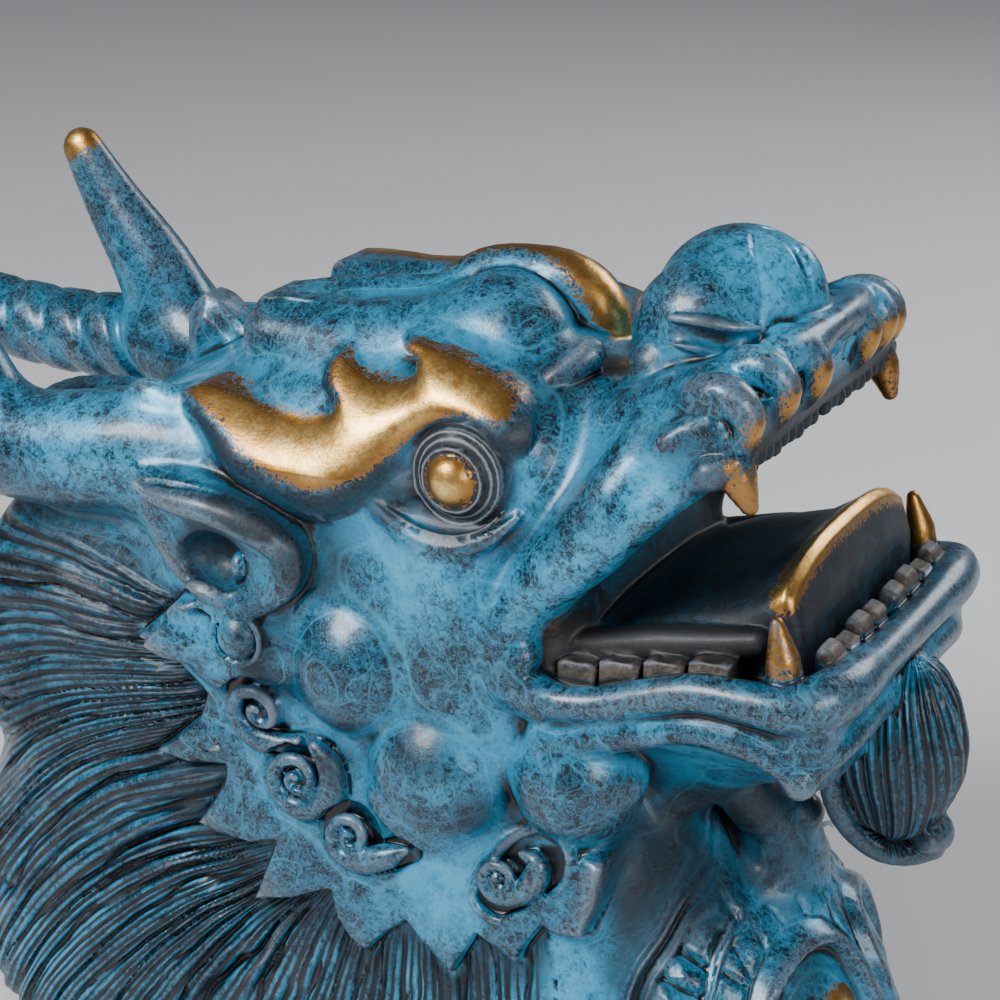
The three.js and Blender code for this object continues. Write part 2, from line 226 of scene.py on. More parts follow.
# A plate with an outline of X and Z, from the middle plane or backY out to frontY. frontY may be
# a formula of x, z and the distance inside the outline.
def plate(outline, frontY, backY=2.0, edge=1.5):
    outline = np.asarray(outline, float)

    def away(x, y, z):
        flatAway = outlineAway(outline, x, z)
        front = frontY(x, z, -flatAway) if callable(frontY) else frontY
        return softMax(softMax(flatAway, front - y, edge), y - backY, edge)

    low = np.array([outline[:, 0].min(), -40, outline[:, 1].min()])
    high = np.array([outline[:, 0].max(), min(backY, 2), outline[:, 1].max()])
    return [(low, high, away)]


# A closed outline smoothed between its sharp corners, which are given by index
def rounded(points, sharp, per=5):
    points = np.asarray(points, float)
    order = sorted(sharp)
    runs = []
    for i, start in enumerate(order):
        stop = order[(i + 1) % len(order)] + (len(points) if i == len(order) - 1 else 0)
        run = points[np.arange(start, stop + 1) % len(points)]
        runs.append(curve(run, (len(run) - 1) * per + 1)[:-1] if len(run) > 2 else run[:-1])
    return np.vstack(runs)


# Relief on the side wall: height(x, z) is pushed outwards where y is past wallY
def emboss(height, low, high, wallY=-22.0):
    cut = window((low[0], -45, low[1]), (high[0], wallY + 6, high[1]))
    x, y, z = places(cut)
    field[cut] -= height(x[:, 0, :], z[:, 0, :])[:, None, :] * smooth(-y, -wallY - 4, -wallY + 4)


# Where the side wall stands at a list of X and Z, then a plane laid through those places
def wallAt(x, z):
    i = np.clip(np.round((np.asarray(x) - gridX[0]) / voxel).astype(int), 0, len(gridX) - 1)
    k = np.clip(np.round((np.asarray(z) - gridZ[0]) / voxel).astype(int), 0, len(gridZ) - 1)
    inside = field[i, :, k] < 0
    return gridY[np.where(inside.any(axis=1), inside.argmax(axis=1), len(gridY) - 1)]


def wallPlane(x, z):
    terms = np.stack([np.ones(len(x)), x, z], 1)
    slope = np.linalg.lstsq(terms, wallAt(x, z), rcond=None)[0]
    return lambda px, pz: slope[0] + slope[1] * px + slope[2] * pz


# Values averaged twice along each given axis, each with the half voxels before and after it
def averaged(values, half, axes, modes):
    for axis, mode in zip(axes, modes):
        for _ in range(2):
            pad = [(0, 0)] * 3
            pad[axis] = (half + 1, half)
            run = np.cumsum(np.pad(values, pad, mode=mode), axis=axis, dtype=values.dtype)
            count = values.shape[axis]
            values = (np.take(run, range(2 * half + 1, 2 * half + 1 + count), axis)
                      - np.take(run, range(count), axis)) / (2 * half + 1)
    return values


# Heights averaged along X and Z, reach mm to either side
def evened(values, reach):
    return averaged(values, max(int(round(reach / voxel)), 1), (0, 2), ("edge", "edge"))


# Head and neck: oval masses joined softly, pressed to nearly upright side walls
massFillet = 12.0
fullestShare = 0.985
base = [
    (38.0, [((-8, 0, 9), (34, 36, 23)), ((4, 0, -12), (28, 44, 26)),
                    ((-36, 0, 4), (24, 38, 15)), ((14, 0, 12), (16, 32, 17)),
                    ((-24, 0, -12), (22, 46, 20))]),
    (33.0, [((-52, 0, -28), (37, 46, 34)), ((-53, 0, -76), (42, 42, 42)),
                    ((-2, 0, -62), (40, 44, 42)), ((-14, 0, -36), (28, 50, 28)),
                    ((10, 0, -50), (29, 48, 26))]),
]


def pressed(masses, wall):
    def away(x, y, z):
        ratio = np.clip(np.abs(y) / wall, 0, fullestShare)
        spread = y / (1 - ratio ** 4) ** 0.25
        whole = None
        for centre, radii in masses:
            part = ball(centre, radii)[0][2](x, spread, z)
            whole = part if whole is None else softMin(whole, part, massFillet)
        return whole

    low = np.min([np.subtract(c, r) for c, r in masses], axis=0)
    high = np.max([np.add(c, r) for c, r in masses], axis=0)
    return [(low, high, away)]


for wall, masses in base:
    add(pressed(masses, wall), 6.0)
slopes = np.gradient(field, voxel)
steep = np.sqrt(slopes[0] ** 2 + slopes[1] ** 2 + slopes[2] ** 2)
field /= np.clip(steep, 1.0, 4.0)
del slopes, steep
add(ball((24, 0, -84), (42, 35, 42)), 5.0)
say("base masses")

# Jaws, from side outlines. Distances run along the palate's slope from the mouth's corner.
palateSlope = math.radians(44)
mouthCorner = (21.0, -6.5)
jawHalfWidth = 30.0


def onPalate(along, height):
    return (mouthCorner[0] + along * math.cos(palateSlope) - height * math.sin(palateSlope),
            mouthCorner[1] + along * math.sin(palateSlope) + height * math.cos(palateSlope))


def palateHeight(x, z):
    return (z - mouthCorner[1]) * math.cos(palateSlope) - (x - mouthCorner[0]) * math.sin(palateSlope)


upperJaw = [onPalate(*p) for p in [
    (-3, 0), (0, 0.5), (20, 1), (38, 1), (42, 4), (45, 9), (43, 14), (36, 17), (27, 21), (21, 24)]]
upperJaw = [(8, -6)] + upperJaw + [(8, 24)]
lowerJaw = [(6, -4), (18, -9), (24, -14.5), (38, -11.5), (48, -9.5), (60, -9), (64.5, -10),
            (64, -16), (60, -22), (50, -28), (40, -36), (30, -44), (6, -36)]
add(plate(upperJaw, lambda x, z, _: -jawHalfWidth * (1 - 0.5 * smooth(palateHeight(x, z), 6, 26)),
          edge=4), 4.0)
add(plate(lowerJaw, lambda x, z, _: -jawHalfWidth * (1 - 0.45 * smooth(-z, 15, 34)),
          edge=4), 3.0)
palate = [onPalate(*p) for p in [(4, -4), (36, -4), (36, 2.5), (24, 5), (8, 4)]]
carve(plate(palate, -22.0, edge=3), 2.0)
say("jaws")


# Cheeks: three smooth round masses, and the strap that runs round the mouth's corner
cheeks = [((-7.5, -26, -16.5), 12.0), ((6, -26, -30.5), 12.0), ((26, -25.6, -28), 10.0)]
for centre, size in cheeks:
    add(ball(centre, (size, size * 0.98, size)), 1.6)
strap = [(36, -24, 22), (32, -27, 14), (26, -28.6, 6), (20, -30, -1), (17, -31, -8),
         (18.5, -31.2, -13.5), (23, -31, -15.8)]
roll(strap, [4.5, 5.5, 5.2, 4.2, 3.4, 3.2, 3.0], 2.5)
roll([(8, -27, 4), (10, -28, -6), (9, -28, -16), (16, -27, -24)], [7, 6, 5, 4], 4.0)
furrow([(-19, -35, -14), (-16, -35.4, -7), (-9, -35, -1.8), (-2, -34.6, 1.6)], [1.0, 1.6, 1.2, 0.4],
       1.2)

# Lower lip: a roll round the corner, along the jaw and straight across its front
roll([(20, -31.6, -9), (19.4, -32, -12), (24, -31.8, -14.4), (31, -31.4, -14.0), (38, -31, -11.6),
      (46, -30.6, -9.4), (53, -30.2, -9.4), (58.5, -29.4, -9.6), (62.6, -26, -8.6), (64, -14, -8.5),
      (64, 2, -8.7)], [2.6, 2.6, 2.5, 2.5, 2.6, 2.8, 3.2, 3.9, 3.9, 3.2, 3.0, 3.0], 1.2)
roll([(24, -30, -21), (35, -30, -17.6), (46, -29.5, -15), (54, -29.5, -15.8), (60, -28.4, -20.4)],
     [3.6, 3.0, 2.4, 2.8, 1.5], 1.4)
roll([(60, -28.4, -20.4), (63, -24, -17), (63.6, -12, -15.4), (63.6, 2, -15.2)], [1.6, 2.6, 2.8, 2.8],
     1.6)
roll([(60, -28, -21), (60, -20, -22.5), (60, -8, -22.8), (60, 2, -22.8)], [1.6, 2.2, 2.6, 2.6], 2.0)

# Tongue: arched across, its front edge turned up, with the gum beside it
tongue = [(18, -12), (22, -8.4), (30, -6.2), (36, -4.6), (42, -3.2), (48, -1.4), (52, 1.2),
          (54.2, 2.9), (55.6, 2.0), (57.2, -3), (57.6, -12)]


def arched(shape):
    def lift(x, y):
        return 5.0 * smooth(x, 17, 40) * (1 - np.minimum((np.abs(y) / 23) ** 3, 1))

    return [(low, np.add(high, (0, 0, 6)), lambda x, y, z, away=away: away(x, y, z - lift(x, y)))
            for low, high, away in shape]


add(arched(plate(tongue, -22.6, edge=1.8)), 0.8)
roll([(21, -24.4, -10), (30, -24.4, -8.2), (37.4, -24.2, -6.4), (45, -24, -5.0), (51.5, -24, -3.4)],
     [2.2, 2.6, 2.8, 2.6, 2.0], 0.8)

# Teeth: four hollow-topped molars, low front teeth, an upper row of beads, and the blunt fangs
molars = (27.2, 33.6, 40.2, 46.8)
for x in molars:
    rise = (x - 27.5) * 0.2
    block = [(x - 3.0, -15), (x - 3.0, -9.7 + rise), (x - 1.4, -9.1 + rise), (x + 1.4, -8.9 + rise),
             (x + 3.0, -9.3 + rise), (x + 3.0, -13)]
    add(plate(block, -29.6, backY=-25.6, edge=0.6), 0.2)
    carve(ball((x, -28.2, -8.3 + rise), (2.3, 1.2, 1.2)), 0.4)
for i in range(4):
    y = -4.0 - 5.4 * i
    top = -3.3 + 0.6 * math.sin(2.3 * i)
    add(plate([(59.0, -10), (59.0, top - 1.2), (59.8, top), (61.4, top - 0.5), (62.2, -4.4), (62.2, -10)],
              y - 2.5, backY=y + 2.5, edge=1.2), 0.25)
add(plate([(45.5, 30), (47.4, 23.4), (50.4, 22.6), (51.4, 25), (51.4, 30)], -26, edge=1.0), 0.6)
for i in range(9):
    add(ball((49.4, -2.6 - 2.7 * i, 22.0 + 0.3 * math.sin(2.1 * i)), (1.5, 1.25, 1.6)), 0.3)
fangY = -27.0
upperFang = tube([(47.4, fangY, 24.5), (49.6, fangY - 0.4, 20.2), (50.9, fangY, 17.0)],
                 [2.8, 2.6, 1.3], step=1.2)
lowerFang = tube([(57.0, fangY, -9), (56.6, fangY - 0.3, -3.8), (55.4, fangY, 1.2)],
                 [2.8, 2.4, 1.0], step=1.2)
add(upperFang, 0.5)
add(lowerFang, 0.5)
say("mouth")

# Nose: two wings and a middle lobe between shallow seams, a small lobe low on each wing, and the
# nostril's slit between thin rolls
add(ball((36.5, 0, 31), (12, 12, 10)), 3.0)
add(ball((37.8, 0, 35.6), (12.0, 12.6, 11.2)), 1.0)
add(ball((36.0, -8.2, 33.0), (10.4, 8.6, 10.6)), 1.5)
add(ball((44.8, 0, 36.8), (5.4, 5.6, 8.8)), 1.0)
add(ball((49.0, -6.4, 32.4), (4.4, 5.6, 3.4), 30), 2.0)
furrow([(39.0, 0, 47.0), (42.2, -6.3, 44.4), (44.8, -9.6, 39.7), (45.0, -11.6, 35.9)],
       [0.3, 0.4, 0.4, 0.2], 0.5, 1.2)
furrow([(40.6, 0.4, 47.6), (45.9, -1.6, 45.0), (49.4, -3.4, 40.2), (50.6, -6.0, 36.4)],
       [0.5, 0.6, 0.6, 0.3], 0.5, 1.2)
add(ball((31.6, -13.2, 29.2), (4.7, 4.7, 4.9)), 0.8)
roll([(34.6, -16.6, 37.6), (38.4, -16.4, 37.4), (42.4, -14.6, 36.8), (45.6, -12.4, 36.6)],
     [0.6, 1.2, 1.0, 0.4], 0.6, 1.2)
furrow([(34.6, -17.4, 36.2), (38.4, -17.0, 35.8), (42.2, -15.4, 35.2), (45.2, -13.6, 35.4)],
       [0.9, 1.4, 1.1, 0.5], 0.4, 1.0)
roll([(35.0, -17.4, 34.2), (38.6, -16.8, 33.8), (42.2, -15.6, 33.4)], [0.3, 0.7, 0.3], 0.5, 1.2)
roll([(28, -19, 23.6), (33, -20, 25.0), (39, -20.4, 27.8), (45, -19.4, 31.0), (49.6, -14, 33.6),
      (51.6, 0, 34.8)], [2.8, 3.0, 3.2, 3.0, 2.4, 1.9], 1.6)

# Upper lip: a broad roll on the side, and short gilded lobes side by side across the front
roll([(24, -30.2, 1), (33, -30, 10.4), (41, -28.6, 18), (46, -27, 22)], [2.0, 2.4, 2.4, 2.2], 1.5)
roll([(36.5, -26.4, 22.0), (41, -27.4, 24.4), (45.6, -27.2, 27.2)], [2.2, 2.8, 2.6], 1.2)
roll([(37.6, -28.4, 22.6), (40.8, -29.2, 25.2), (42.0, -28.8, 26.6)], [0.9, 1.9, 1.2], 0.6, 1.2)
roll([(43.4, -29.2, 19.6), (47.0, -29.8, 22.0), (49.6, -29.0, 23.4)], [1.4, 2.4, 1.3], 0.5, 1.2)
lobes = [(-27.2, 28.9, 50.4), (-18.8, 30.6, 52.0), (-9.4, 31.2, 52.8)]
for y, z, x in lobes:
    roll([(x - 9.5, y * 0.9, z - 0.6), (x - 5.4, y * 0.97, z + 2.2), (x - 1.8, y, z + 2.2), (x, y, z),
          (x - 0.4, y, z - 2.6), (x - 1.4, y, z - 4.8)], [2.4, 3.2, 3.1, 2.6, 2.0, 1.2], 0.4, 1.2)
    furrow([(x - 1.0, y + 4.6, z - 2), (x - 1.0, y + 4.6, z + 2.0), (x - 4.4, y + 4.4, z + 4.2)],
           [0.6, 0.8, 0.3], 0.6, 1.2)
furrow([(47.0, -31.0, 27.6), (47.4, -30.4, 30.0), (46.2, -29.4, 32.2)], [0.5, 0.9, 0.3], 0.5, 1.0)
say("nose")

# Brow: one heavy swelling with two flame points, gilded on top, its belly over the eye painted in shade
browBody = rounded([
    (-38.3, 19.0), (-35.0, 20.7), (-31.0, 20.7), (-25.8, 19.8), (-22.0, 19.0), (-18.5, 18.9),
    (-15.1, 19.4), (-13.2, 20.2), (-12.4, 21.3), (-13.6, 22.5), (-14.8, 23.9), (-15.0, 25.5),
    (-14.1, 27.0), (-12.8, 27.7), (-10.9, 26.7), (-9.0, 25.9), (-6.8, 25.2), (-4.4, 25.3),
    (-1.9, 26.0), (-0.2, 27.2), (-1.2, 28.7), (-2.9, 29.0), (-3.8, 29.9), (-2.2, 30.5), (0.5, 30.4),
    (3.9, 30.2), (9.2, 28.9), (13.0, 27.7), (15.4, 26.4), (17.3, 24.9), (18.6, 23.0), (19.0, 20.4),
    (17.5, 18.0), (15.9, 16.6), (14.1, 18.0), (11.7, 19.3), (8.9, 20.0), (6.1, 19.9), (3.6, 19.0),
    (1.3, 17.0), (-0.2, 14.0), (-2.0, 11.7), (-4.6, 8.4), (-7.1, 6.3), (-10.8, 4.4), (-14.3, 3.4),
    (-17.9, 3.5), (-21.3, 4.3), (-24.1, 5.8), (-26.4, 7.4), (-28.0, 9.2), (-29.7, 11.2),
    (-31.1, 13.4), (-33.1, 15.4), (-35.7, 17.4)], [0, 13, 22])
browGold = rounded([
    (-36.8, 19.9), (-34.5, 20.9), (-30.7, 20.9), (-25.4, 20.0), (-21.7, 19.2), (-17.9, 19.1),
    (-14.3, 19.6), (-11.4, 20.8), (-9.9, 22.6), (-11.2, 24.0), (-13.2, 25.1), (-13.6, 26.3),
    (-12.7, 27.7), (-10.9, 26.9), (-8.9, 26.0), (-6.4, 25.3), (-3.8, 25.5), (-0.9, 26.4),
    (0.6, 27.8), (0.1, 29.0), (-1.6, 29.4), (-2.9, 30.1), (-1.7, 30.6), (0.8, 30.5), (4.1, 30.2),
    (9.4, 28.9), (12.7, 27.7), (14.4, 26.7), (15.5, 25.9), (16.1, 24.7), (15.2, 23.3), (13.1, 23.8),
    (10.7, 24.1), (8.4, 24.0), (4.7, 21.9), (2.9, 20.3), (0.6, 18.3), (-1.4, 16.5), (-3.7, 14.7),
    (-6.4, 13.1), (-9.4, 11.7), (-12.8, 11.0), (-15.5, 11.5), (-17.9, 12.2), (-20.4, 13.2),
    (-23.0, 14.5), (-25.5, 15.7), (-27.8, 17.0), (-30.8, 18.2), (-33.6, 19.1)], [0, 12, 21])


def browFront(x, z, inside):
    lean = 0.42 * np.maximum(z - 13, 0) + 0.10 * np.maximum(10 - z, 0)
    swell = 5.6 * (1 - (1 - np.clip(inside / 7.5, 0, 1)) ** 2) ** 0.5
    return -29.2 + lean - evened(swell, 1.2)


add(plate(browBody, browFront, backY=-16, edge=0.5), 0.7)

# Eye: a ball, a domed pupil inside thin rings, and a fine lower lid
eyeX, eyeZ = 9.6, 15.3
carve(ball((8.6, -34.5, 14.4), (9.2, 4.4, 7.6), 8), 2.0)
add(ball((eyeX, -28.4, eyeZ), (7.2, 5.0, 7.2)), 0.4)
add(ball((1.4, -28.8, 11.8), (5.4, 3.0, 2.4), 26), 0.6)
for reach, girth in ((4.6, 0.36), (6.5, 0.4)):
    depth = -28.5 - 5.0 * math.sqrt(max(1 - (reach / 7.5) ** 2, 0))
    roll(ringLine(eyeX, depth, eyeZ, reach), [girth, girth], 0.2, 1.0)
add(ball((eyeX, -32.0, eyeZ), (3.8, 2.9, 3.8)), 0.25)
lowerLid = tube([(-3.4, -31.0, 8.2), (1.0, -32.2, 6.8), (5.6, -32.9, 5.6), (10.2, -33.0, 5.6),
                 (15.2, -31.8, 7.6), (18.4, -30, 10.6)], [0.8, 1.3, 1.5, 1.5, 1.2, 0.6])
add(lowerLid, 1.2)
roll([(-3.6, -31.0, 10.0), (0.4, -32.2, 8.7), (5.0, -33.2, 7.6), (9.8, -33.4, 7.4), (14.4, -32.6, 9.0),
      (17.6, -31, 12.4)], [0.3, 0.5, 0.5, 0.5, 0.4, 0.2], 0.3, 1.2)

# Ear: a cupped leaf, its tip behind, with a heavy rolled upper edge and a smooth near wall
earOutline = rounded([(-40.6, 8.8), (-33, 9.4), (-26, 8.8), (-19.6, 7.4), (-14.4, 3.6), (-12.8, -0.6),
                      (-14.6, -5.6), (-21, -10.0), (-28, -10.0), (-33.4, -7.4), (-37.4, -1.8),
                      (-39.5, 4.4)], [0])
add(plate(earOutline, lambda x, z, inside: -36.4 - 0.5 * smooth(inside, 0, 3), backY=-24,
          edge=0.9), 0.4)
carve(ball((-27.4, -40.4, -1.0), (12.4, 4.8, 7.0), -10), 1.5)
carve(ball((-27.6, -37.4, -2.2), (5.8, 6.2, 4.4), -6), 0.6)
earLump = (-24.0, -33.8, -3.0)
add(ball(earLump, (1.7, 2.3, 2.4)), 0.3)
roll([(-40.2, -36.8, 8.0), (-37.4, -37.2, 6.9), (-33.4, -37.5, 6.6), (-27.4, -37.6, 6.4),
      (-22.2, -37.2, 5.4), (-17.8, -36.4, 3.4), (-15.0, -35.2, -0.4), (-16, -34.4, -5.4)],
     [0.5, 1.5, 2.0, 2.3, 2.6, 2.4, 1.7, 1.0], 0.4, 1.2)
add(tube([(-34.2, -36.4, -6.8), (-30, -36.8, -6.6), (-25.6, -36.6, -7.8), (-22.2, -35.8, -9.8)],
         [0.4, 1.9, 1.9, 0.4], flat=0.7, step=1.2, keel=True), 0.3)
roll([(-27.4, -32.8, 13.4), (-23.4, -33.6, 10.2), (-17.4, -33.4, 8.2), (-10.4, -32.4, 5.6)],
     [0.3, 0.6, 0.7, 0.3], 0.3, 1.2)
roll([(-9.8, -32.2, -3.4), (-12.8, -33.0, -5.6), (-15.4, -33.4, -8.8), (-17.0, -33.4, -10.6)],
     [0.3, 0.7, 0.7, 0.3], 0.3, 1.2)
say("brow, eye and ear")

# Collar: a sheet with leaf points over the mane's roots, each leaf facetted about its ridge. It
# sinks away towards the cheeks.
collar = [
    (-36.4, -11.0), (-41.5, -15.6), (-45.9, -19.9), (-40.2, -21.5), (-36.2, -24.4), (-33.5, -26.6),
    (-34.8, -30.5), (-39.5, -34.9), (-43.6, -38.5), (-37.9, -39.2), (-30.6, -37.9), (-31.1, -40.8),
    (-33.8, -45.0), (-36.8, -49.2), (-32.8, -50.2), (-27.0, -50.3), (-22.1, -48.4), (-24.1, -53.2),
    (-27.1, -60.1), (-19.6, -57.8), (-12.8, -54.3), (-11.9, -58.5), (-9.7, -61.7), (-6.8, -63.1),
    (-3.6, -59.3), (0.2, -56.0), (3.2, -59.2), (7.6, -62.7), (9.9, -59.0), (11.9, -55.1),
    (14.9, -56.7), (18.3, -58.4), (20.1, -54.6), (22.4, -51.3), (24.9, -52.3), (28.6, -51.9),
    (30.9, -46.2), (32.6, -36.2), (26.1, -35.2), (19.7, -35.2), (9.2, -38.9), (3.5, -37.9),
    (-2.3, -32.8), (-5.6, -30.4), (-9.7, -26.5), (-15.4, -24.4), (-18.3, -22.6), (-18.0, -14.5),
    (-21.4, -9.7), (-29.7, -8.7)]
ridges = [((-45.4, -19.7), (-31.0, -16.8)), ((-43.2, -38.3), (-29.0, -33.0)),
          ((-36.2, -48.9), (-24.6, -43.6)), ((-26.6, -59.6), (-16.0, -50.4)),
          ((-6.9, -62.6), (-7.7, -53.6)), ((7.7, -62.2), (7.2, -53.0)),
          ((18.4, -58.0), (17.1, -50.4)), ((28.4, -51.5), (31.0, -39.7))]
shiftX, shiftZ = 0.8, 0.7
collar = np.add(collar, (shiftX, shiftZ))
ridges = [((ax + shiftX, az + shiftZ), (bx + shiftX, bz + shiftZ)) for (ax, az), (bx, bz) in ridges]
cheekSide = collar[37:]


# Distance from a line of two coordinates, and how far along it
def lineAway(line, u, z):
    best = np.full(np.broadcast(u, z).shape, 1e6)
    run = np.zeros(best.shape)
    length = 0.0
    for (au, az), (bu, bz) in zip(line[:-1], line[1:]):
        eu, ez = bu - au, bz - az
        step = math.hypot(eu, ez)
        t = np.clip(((u - au) * eu + (z - az) * ez) / step ** 2, 0, 1)
        apart = (u - au - t * eu) ** 2 + (z - az - t * ez) ** 2
        run = np.where(apart < best, length + t * step, run)
        best = np.minimum(best, apart)
        length += step
    return np.sqrt(best), run


def collarRise(x, z):
    inside = -outlineAway(collar, x, z)
    shown = smooth(lineAway(cheekSide, x, z)[0], 0.4, 5.5)
    roof = np.full(inside.shape, 0.2)
    for (ax, az), (bx, bz) in ridges:
        ex, ez = bx - ax, bz - az
        t = np.clip(((x - ax) * ex + (z - az) * ez) / (ex * ex + ez * ez), 0, 1)
        apart = np.hypot(x - ax - t * ex, z - az - t * ez)
        roof = np.maximum(roof, 0.4 + 2.1 * smooth(t, 0, 0.5) - 0.72 * apart)
    within = smooth(inside, -0.35, 0.45)
    return shown * (within * (1.7 + roof) - (1 - within) * 1.6 * np.exp(-np.maximum(-inside, 0) / 2.4))


emboss(collarRise, (-60, -76), (44, 2), -24.0)


def lengthOf(line):
    return np.sum(np.hypot(*np.diff(line, axis=0).T))


# A dish cut into the wall down to floor(x, z)
def sink(apartFrom, low, high, floor):
    cut = window((low[0], -45, low[1]), (high[0], -20, high[1]))
    x, y, z = places(cut)
    field[cut] = softMax(field[cut], -softMax(apartFrom(x, z), y - floor(x, z), 0.5), 0.5)


# Curls: each lies in a shallow dish. A fat comma-shaped body is given from its tail, with its
# girths, the middle its end winds up round, and its dish where that is no plain band.
dishOutline = np.array([(12.4, -47.7), (13.2, -49.6), (16.6, -51.1), (20.2, -49.2), (23.0, -46.8),
                        (26.9, -42.8), (27.5, -38.3), (26.6, -36.5), (24.0, -34.9), (21.0, -35.7),
                        (18.2, -37.9), (16.1, -40.5), (14.4, -42.4), (13.4, -44.9)])
curls = [
    ([(-12.6, -28.6), (-16.4, -30.9), (-20.6, -31.0), (-24.6, -29.6), (-26.2, -26.2), (-24.8, -23.0),
      (-21.8, -22.1)], [0.8, 2.0, 2.2, 2.0, 1.5, 1.1, 0.9], (-22.0, -25.5), None),
    ([(-13.2, -30.0), (-10.8, -32.4), (-10.4, -36.0), (-12.6, -39.0), (-16.0, -40.4), (-19.0, -39.2),
      (-20.2, -36.2), (-18.8, -33.2), (-16.2, -32.3)], [1.2, 2.1, 2.4, 2.2, 2.0, 1.6, 1.3, 1.1, 0.9],
     (-16.4, -35.6), None),
    ([(1.6, -43.4), (-2.4, -45.4), (-6.4, -46.8), (-9.6, -46.0), (-10.6, -43.2), (-9.0, -40.6),
      (-6.9, -40.3)], [0.6, 2.0, 2.2, 1.7, 1.2, 1.0, 0.9], (-7.5, -42.9), None),
    ([(20.0, -39.4), (22.6, -40.2), (22.6, -42.6), (20.6, -45.2), (17.8, -46.7), (15.4, -46.0),
      (14.6, -43.9), (15.4, -42.1), (17.2, -41.6)], [0.5, 1.5, 2.1, 1.9, 1.5, 1.2, 0.95, 0.85, 0.8],
     (17.3, -43.8), dishOutline),
]
windUp = 6.8
curlStops = 70
for body, girths, middle, dish in curls:
    arm = np.subtract(body[-1], middle)
    share = np.linspace(0.05, 1, 22)
    turn = math.atan2(arm[1], arm[0]) - windUp * share
    reach = math.hypot(*arm) * (1 - share) + 0.4 * share
    snail = np.stack([middle[0] + reach * np.cos(turn), middle[1] + reach * np.sin(turn)], 1)
    line = curve(np.vstack([body, snail]), curlStops)
    plane = wallPlane(line[:, 0], line[:, 1])
    low, high = line.min(axis=0) - 5, line.max(axis=0) + 5
    if dish is None:
        sink(lambda x, z: lineAway(line[::3], x, z)[0] - 2.5, low, high, lambda x, z: plane(x, z) + 0.6)
    else:
        sink(lambda x, z: outlineAway(dish, x, z), low, high, lambda x, z: plane(x, z) + 0.8)
    run = np.linspace(0, 1, curlStops)
    coil = np.stack([line[:, 0], plane(line[:, 0], line[:, 1]) - 0.3 - 1.2 * run, line[:, 1]], 1)
    # The body's girths are spread over its share of the whole length
    bodyShare = 1 - lengthOf(snail) / lengthOf(line)
    girth = np.interp(run, np.append(np.linspace(0, bodyShare, len(girths)), 1), girths + [0.6])
    size = math.hypot(*arm) + 0.4
    add(ball((middle[0], plane(*middle) + 2.0, middle[1]), (size, 3.0, size)), 0.3)
    roll(coil, list(girth), 0.12, 0.8)
rimLine = np.vstack([dishOutline, dishOutline[:1]])
rimLine = np.insert(rimLine, 1, plane(*rimLine.T) - 0.1, axis=1)
roll(rimLine, [0.8, 0.8], 0.5, 1.5)
plane = wallPlane(np.array([-26.0, -20.0, -25.4, -18.0]), np.array([-13.0, -13.0, -20.0, -19.0]))
add(ball((-21.4, plane(-21.4, -16.4) + 2.2, -16.4), (7.0, 3.2, 5.8), 8), 0.3)
buttonY = plane(-24.0, -13.5)
add(ball((-24.0, buttonY - 0.6, -13.5), (3.3, 2.4, 3.3)), 0.15)
roll(ringLine(-24.0, buttonY - 1.3, -13.5, 4.1), [0.5, 0.5], 0.2, 1.2)
say("collar and curls")

# Horns: a beam, its turned-up end and one tine with a lengthwise ridge
beam = tube([(-26, -20, 7), (-42, -24, 8.8), (-60, -26.5, 6.6), (-80, -26.5, 6.2), (-104, -26.5, 6),
             (-120, -26.5, 8.6), (-131, -25.5, 17), (-135, -24.5, 27)],
            [9, 9.6, 9, 8, 7.4, 7, 5.8, 3.2])
tine = tube([(-74, -26.5, 8), (-80, -26.5, 19), (-88, -26.5, 30), (-93.5, -26.5, 38.4)],
            [8.6, 7.2, 5.4, 3.6], flat=0.8)
add(beam, 3.0)
add(tine, 3.0)
roll([(-72, -31.5, 14), (-79, -31.4, 22), (-88, -30.6, 31.5)], [1.4, 1.2, 0.4], 1.4)
for x in (-82, -90, -98, -106, -114):
    turn = np.linspace(0, 2 * math.pi, 17)
    ring = np.stack([x - 4 * np.sin(turn), -26.5 + 7.9 * np.cos(turn), 6 + 7.9 * np.sin(turn)], 1)
    furrow(ring, [1.2, 1.2], 1.4)
add(ball((-42.7, -26.6, 17.0), (5.2, 2.6, 3.2), -6), 1.5)

# Crown: the middle crest, side lumps with tails that sink into the skull, the leaf knob and tuft
crest = tube([(-10, 0, 29.0), (-6, 0, 33.2), (-1, 0, 35.5), (6.5, 0, 36.0), (11.5, 0, 35.4),
              (15.2, 0, 33.0), (17.2, 0, 29.6), (17.8, 0, 25)],
             [2.2, 3.0, 3.6, 4.0, 4.3, 4.3, 4.0, 3.0])
add(crest, 0.8)
add(ball((4.6, -6.4, 28.4), (10.4, 9.6, 9.4)), 0.5)
add(tube([(7, -9, 28.4), (-6, -11.8, 27.0), (-18, -13.6, 25.6), (-28, -14.2, 26.0)],
         [8.0, 8.0, 7.8, 6.2], flat=0.85, wide=(0, 1, 0)), 3.0)
flaps = [
    ([(-52.9, 11.2), (-53.6, 19.4), (-52.8, 23.5), (-50.2, 26.1), (-47.7, 25.4), (-44.7, 23.1),
      (-40.6, 20.8), (-35.4, 16.9), (-38, 14), (-45.3, 11.3)], -2.6, 2.0, [3, 8]),
    ([(-31.2, 31.7), (-25.6, 32.1), (-19.8, 31.9), (-12.0, 30.4), (-18.0, 21.4), (-27.9, 22.5),
      (-30.1, 25.9), (-32.0, 28.8), (-32.5, 30.2)], -15.2, -6.0, [0, 4])]
for outline, frontY, backY, sharp in flaps:
    add(plate(rounded(outline, sharp), lambda x, z, inside: frontY - 1.8 * smooth(inside, 0.6, 3.2),
              backY=backY, edge=0.5), 0.5)
